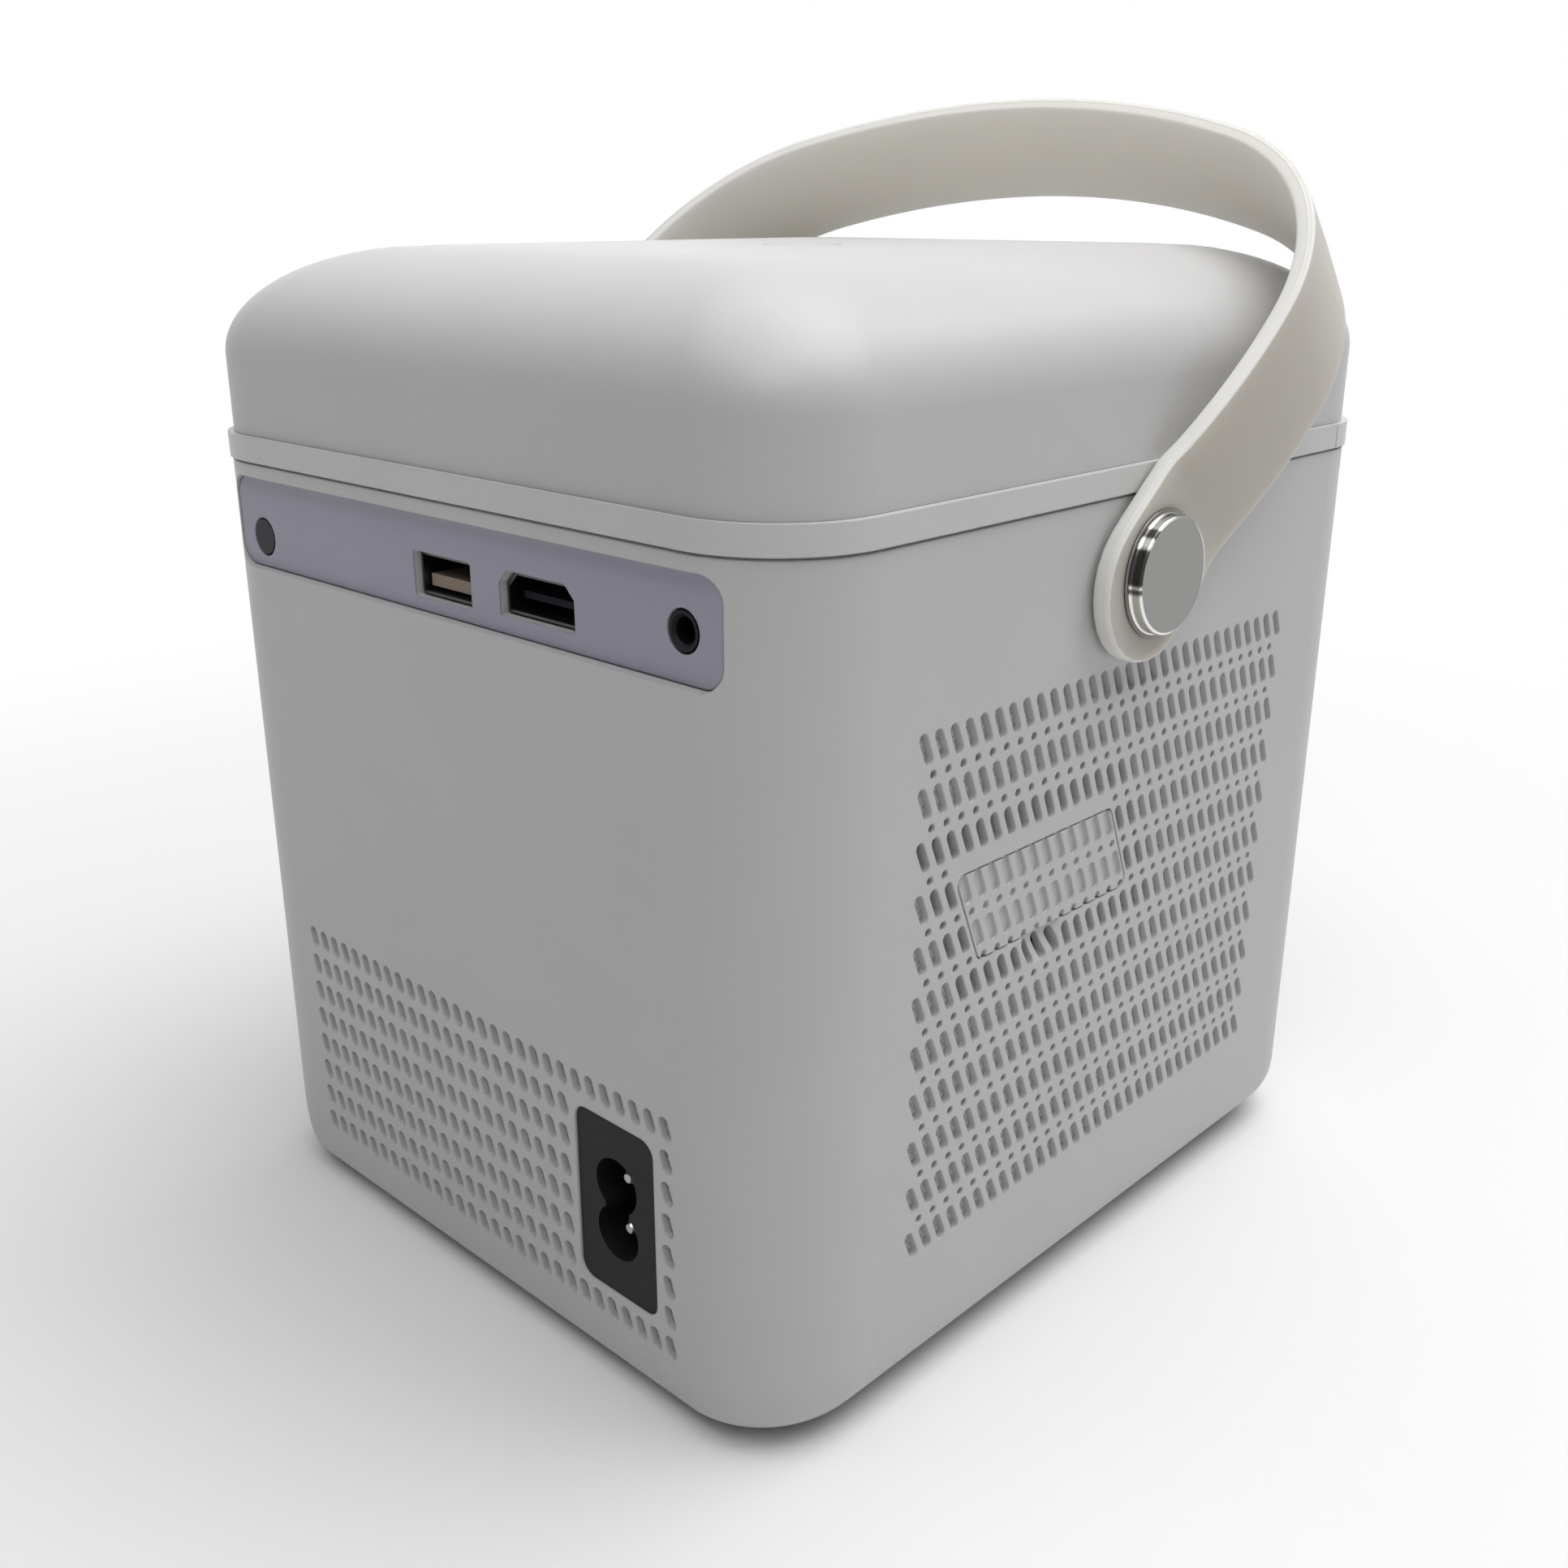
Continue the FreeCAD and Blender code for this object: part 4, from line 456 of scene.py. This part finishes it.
def buildStrap():
    half = strapStations()
    path = [(-x, z, -nx, nz) for x, z, nx, nz in half] + half[-2::-1]
    right = len(path) - 1
    spokes = []
    # each spoke runs from the middle line to the edge: station, share across, share beyond the end
    spokes += [(number, 1.0, 0.0, strapHalfWidth(station[1])) for number, station in enumerate(path)]
    for number, sign in ((right, 1), (0, -1)):
        for step in range(1, strap["fan"]):
            angle = math.pi * step / strap["fan"]
            spokes.append((number, sign * math.cos(angle), math.sin(angle), strap["tabEnd"]))
        if number == right:
            spokes += [(back, -1.0, 0.0, strapHalfWidth(path[back][1])) for back in range(right, -1, -1)]
    mesh = bmesh.new()
    # painted light: each vertex holds its share of the pale colour, 1 on the edge and on the lining
    paintedLight = mesh.verts.layers.float.new("paintedLight")
    faces = []
    lean = Matrix.Rotation(math.radians(strap["lean"]), 3, "X")
    lift = Vector((0, 0, strap["pivotHeight"]))

    def place(spoke, out, rise, pale):
        number, across, beyond, reach = spoke
        x, z, nx, nz = path[number]
        flat = Vector((x + nx * rise, across * out, z + nz * rise - beyond * out))
        vert = mesh.verts.new((lean @ flat + lift) * mm)
        vert[paintedLight] = pale
        return vert

    def corner(spoke, inset, side):
        face = 0 if side > 0 else strap["liningPaintedLight"]
        # the rounded edge and the lining get painted light, the outer face none
        pale = 1 if inset < strap["edgeRound"] else face
        return place(spoke, spoke[3] - inset, strapRise(inset, spoke[3]) * side, pale)

    for side in (1, -1):
        faces.append([[corner(spoke, inset, side) for inset in (*strap["insets"], spoke[3])]
                      for spoke in spokes])
    # the edge is flat, and the parting line of the mould stands up a little on it; the whole edge is
    # painted paler as painted light
    seam = []
    for share in strap["edgeRows"]:
        ridge = strap["mouldLine"] if share == strap["mouldPlace"] else 0
        seam.append([place(spoke, spoke[3] + ridge, strapRise(0, spoke[3]) * (2 * share - 1), 1)
                     for spoke in spokes])
    count = len(spokes)
    columns = len(strap["insets"])
    for rows in faces:
        for number in range(count):
            one, two = rows[number], rows[(number + 1) % count]
            for column in range(columns):
                mesh.faces.new((one[column], one[column + 1], two[column + 1], two[column]))
    rings = [[row[0] for row in faces[1]], *seam, [row[0] for row in faces[0]]]
    for lower, upper in zip(rings, rings[1:]):
        for number in range(count):
            after = (number + 1) % count
            mesh.faces.new((lower[number], lower[after], upper[after], upper[number]))
    bmesh.ops.remove_doubles(mesh, verts=mesh.verts, dist=0.01 * mm)
    bmesh.ops.recalc_face_normals(mesh, faces=mesh.faces)
    return finished("strap", mesh, "strap", "handle")


# turns a bmesh into a smooth piece that rides a body
def finished(name, mesh, slot, body):
    for face in mesh.faces:
        face.smooth = True
    data = bpy.data.meshes.new(name)
    mesh.to_mesh(data)
    mesh.free()
    piece = bpy.data.objects.new(name, data)
    bpy.context.scene.collection.objects.link(piece)
    data.materials.append(mats[slot])
    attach(piece, body)
    return piece


strapPiece = buildStrap()
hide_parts("strap_handle")
print("strap built:", len(strapPiece.data.polygons), "faces")


# millimetres: radius and height of the cap, its foot on the strap and the rounding of its rim
cap = {
    "radius": 8.6,
    "height": 2.2,
    "footRadius": 9.4,
    "foot": 0.3,
    "rimRound": 0.35,
    "rimRows": 8,
    "chamfer": 0.1,
    "stepDepth": 0.05,
    "stepWidth": 0.2,
    "faceCentre": 5.0,
    "segments": 96,
}


def capProfile():
    rimRadius = cap["rimRound"]
    rimHeight = cap["height"] - rimRadius
    chamfer = cap["chamfer"]
    points = [(cap["footRadius"], 0), (cap["footRadius"], cap["foot"] - chamfer),
              (cap["footRadius"] - chamfer, cap["foot"]), (cap["radius"] + 0.15, cap["foot"] + 0.02),
              (cap["radius"], cap["foot"] + chamfer), (cap["radius"], 1.0), (cap["radius"], rimHeight)]
    for step in range(1, cap["rimRows"] + 1):
        turn = math.radians(90 * step / cap["rimRows"])
        across = cap["radius"] - rimRadius * (1 - math.cos(turn))
        points.append((across, rimHeight + rimRadius * math.sin(turn)))
    inner = cap["radius"] - rimRadius
    sunk = cap["height"] - cap["stepDepth"]
    points += [(inner - 0.04, cap["height"]), (inner - chamfer, sunk),
               (inner - cap["stepWidth"], sunk), (cap["faceCentre"], sunk)]
    return points


def buildCaps():
    mesh = bmesh.new()
    profile = capProfile()
    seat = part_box("handle_caps")[1][0] / mm - cap["height"]
    centre = Vector(joints["handle_swing"]["pos_m"])
    for side in (-1, 1):
        rings = []
        for radius, height in profile:
            ring = []
            for number in range(cap["segments"]):
                turn = 2 * math.pi * number / cap["segments"]
                out = Vector((side * (seat + height), radius * math.cos(turn), radius * math.sin(turn)))
                ring.append(mesh.verts.new(centre + out * mm))
            rings.append(ring)
        for lower, upper in zip(rings, rings[1:]):
            for number in range(cap["segments"]):
                after = (number + 1) % cap["segments"]
                mesh.faces.new((lower[number], lower[after], upper[after], upper[number]))
        for ring, height in ((rings[-1], cap["height"] - cap["stepDepth"]), (rings[0], 0)):
            middle = mesh.verts.new(centre + Vector((side * (seat + height) * mm, 0, 0)))
            for number in range(cap["segments"]):
                mesh.faces.new((ring[number], ring[(number + 1) % cap["segments"]], middle))
    bmesh.ops.recalc_face_normals(mesh, faces=mesh.faces)
    return finished("strapCaps", mesh, "cap", "handle")


capPiece = buildCaps()
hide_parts("handle_caps")
print("caps built:", len(capPiece.data.polygons), "faces")


studio = {
    "camera": (-0.18993, 0.20243, 0.16833),
    "right": (-0.72217, -0.69172, 0.00015),
    "up": (0.23354, -0.24361, 0.94133),
    "forward": (0.65110, -0.67984, -0.33748),
    "lens": 37.21,
    "floorSize": 12,
    "floor": 0.95,
    "bounce": 0.80,
    "fadeStart": 0.12,
    "fadeEnd": 0.45,
    "ambient": 0.0,
}

# place, aim, size, power
softboxes = {
    "overhead": ((-0.35, -0.45, 1.25), (0, 0, 0.1), (1.2, 1.2), 11.0),
    "zenith": ((0, 0, 1.4), (0, 0, 0.1), (2.0, 2.0), 14.0),
    "behindTop": ((-0.5, 0.7, 1.2), (0, 0, 0.12), (0.8, 0.8), 3.5),
}


def addCamera():
    data = bpy.data.cameras.new("mainCamera")
    cam = bpy.data.objects.new("mainCamera", data)
    bpy.context.scene.collection.objects.link(cam)
    columns = [Vector(studio["right"]), Vector(studio["up"]), -Vector(studio["forward"])]
    turned = Matrix([list(row) for row in zip(*columns)])
    cam.matrix_world = Matrix.Translation(studio["camera"]) @ turned.to_4x4()
    data.sensor_width = 36
    data.lens = studio["lens"]
    data.clip_start = 0.01
    data.clip_end = 20
    bpy.context.scene.camera = cam


def areaLight(name, place, aim, size, power):
    data = bpy.data.lights.new(name, "AREA")
    data.shape = "RECTANGLE"
    data.size, data.size_y = size
    data.energy = power
    light = bpy.data.objects.new(name, data)
    bpy.context.scene.collection.objects.link(light)
    light.location = place
    light.rotation_euler = (Vector(aim) - Vector(place)).to_track_quat("-Z", "Y").to_euler()
    return light


# 1 for the rays that should meet the white backdrop
def backdropRays(tree):
    rays = addNode(tree, "ShaderNodeLightPath")
    total = rays.outputs["Is Camera Ray"]
    for name in ("Is Glossy Ray", "Is Transmission Ray"):
        total = calc(tree, "MAXIMUM", total, rays.outputs[name])
    return total


# pale floor that runs out into the white backdrop away from the object
def addFloor():
    half = studio["floorSize"] / 2
    mesh = bpy.data.meshes.new("floor")
    corners = [(-half, -half, 0), (half, -half, 0), (half, half, 0), (-half, half, 0)]
    mesh.from_pydata(corners, [], [(0, 1, 2, 3)])
    floor = bpy.data.objects.new("floor", mesh)
    bpy.context.scene.collection.objects.link(floor)
    mat, tree, bsdf = newMat("floor")
    bsdf.inputs["Roughness"].default_value = 0.9
    bsdf.inputs["Specular IOR Level"].default_value = 0.1
    shown = backdropRays(tree)
    tone = blendColors(tree, shown, (studio["bounce"],) * 3, (studio["floor"],) * 3)
    wire(tree, tone, bsdf.inputs["Base Color"])
    coords = addNode(tree, "ShaderNodeTexCoord")
    reach = addNode(tree, "ShaderNodeVectorMath", operation="LENGTH")
    wire(tree, coords.outputs["Object"], reach.inputs[0])
    fade = span(tree, reach.outputs["Value"], studio["fadeStart"], studio["fadeEnd"], 0, 1)
    fade.interpolation_type = "SMOOTHSTEP"
    seen = calc(tree, "MULTIPLY", fade.outputs["Result"], shown)
    white = addNode(tree, "ShaderNodeEmission", Color=(1, 1, 1, 1), Strength=1.0)
    mix = addNode(tree, "ShaderNodeMixShader")
    wire(tree, seen, mix.inputs["Fac"])
    wire(tree, bsdf.outputs["BSDF"], mix.inputs[1])
    wire(tree, white.outputs["Emission"], mix.inputs[2])
    wire(tree, mix.outputs["Shader"], tree.nodes["Material Output"].inputs["Surface"])
    floor.data.materials.append(mat)
    return floor


def addWorld():
    world = bpy.data.worlds.new("studio")
    world.use_nodes = True
    tree = world.node_tree
    back = tree.nodes["Background"]
    back.inputs["Color"].default_value = (1, 1, 1, 1)
    level = span(tree, backdropRays(tree), 0, 1, studio["ambient"], 1.0)
    wire(tree, level.outputs["Result"], back.inputs["Strength"])
    bpy.context.scene.world = world


addCamera()
addWorld()
addFloor()
for name, values in softboxes.items():
    areaLight(name, *values)
bpy.context.scene.view_settings.view_transform = "Standard"
print("studio ready")
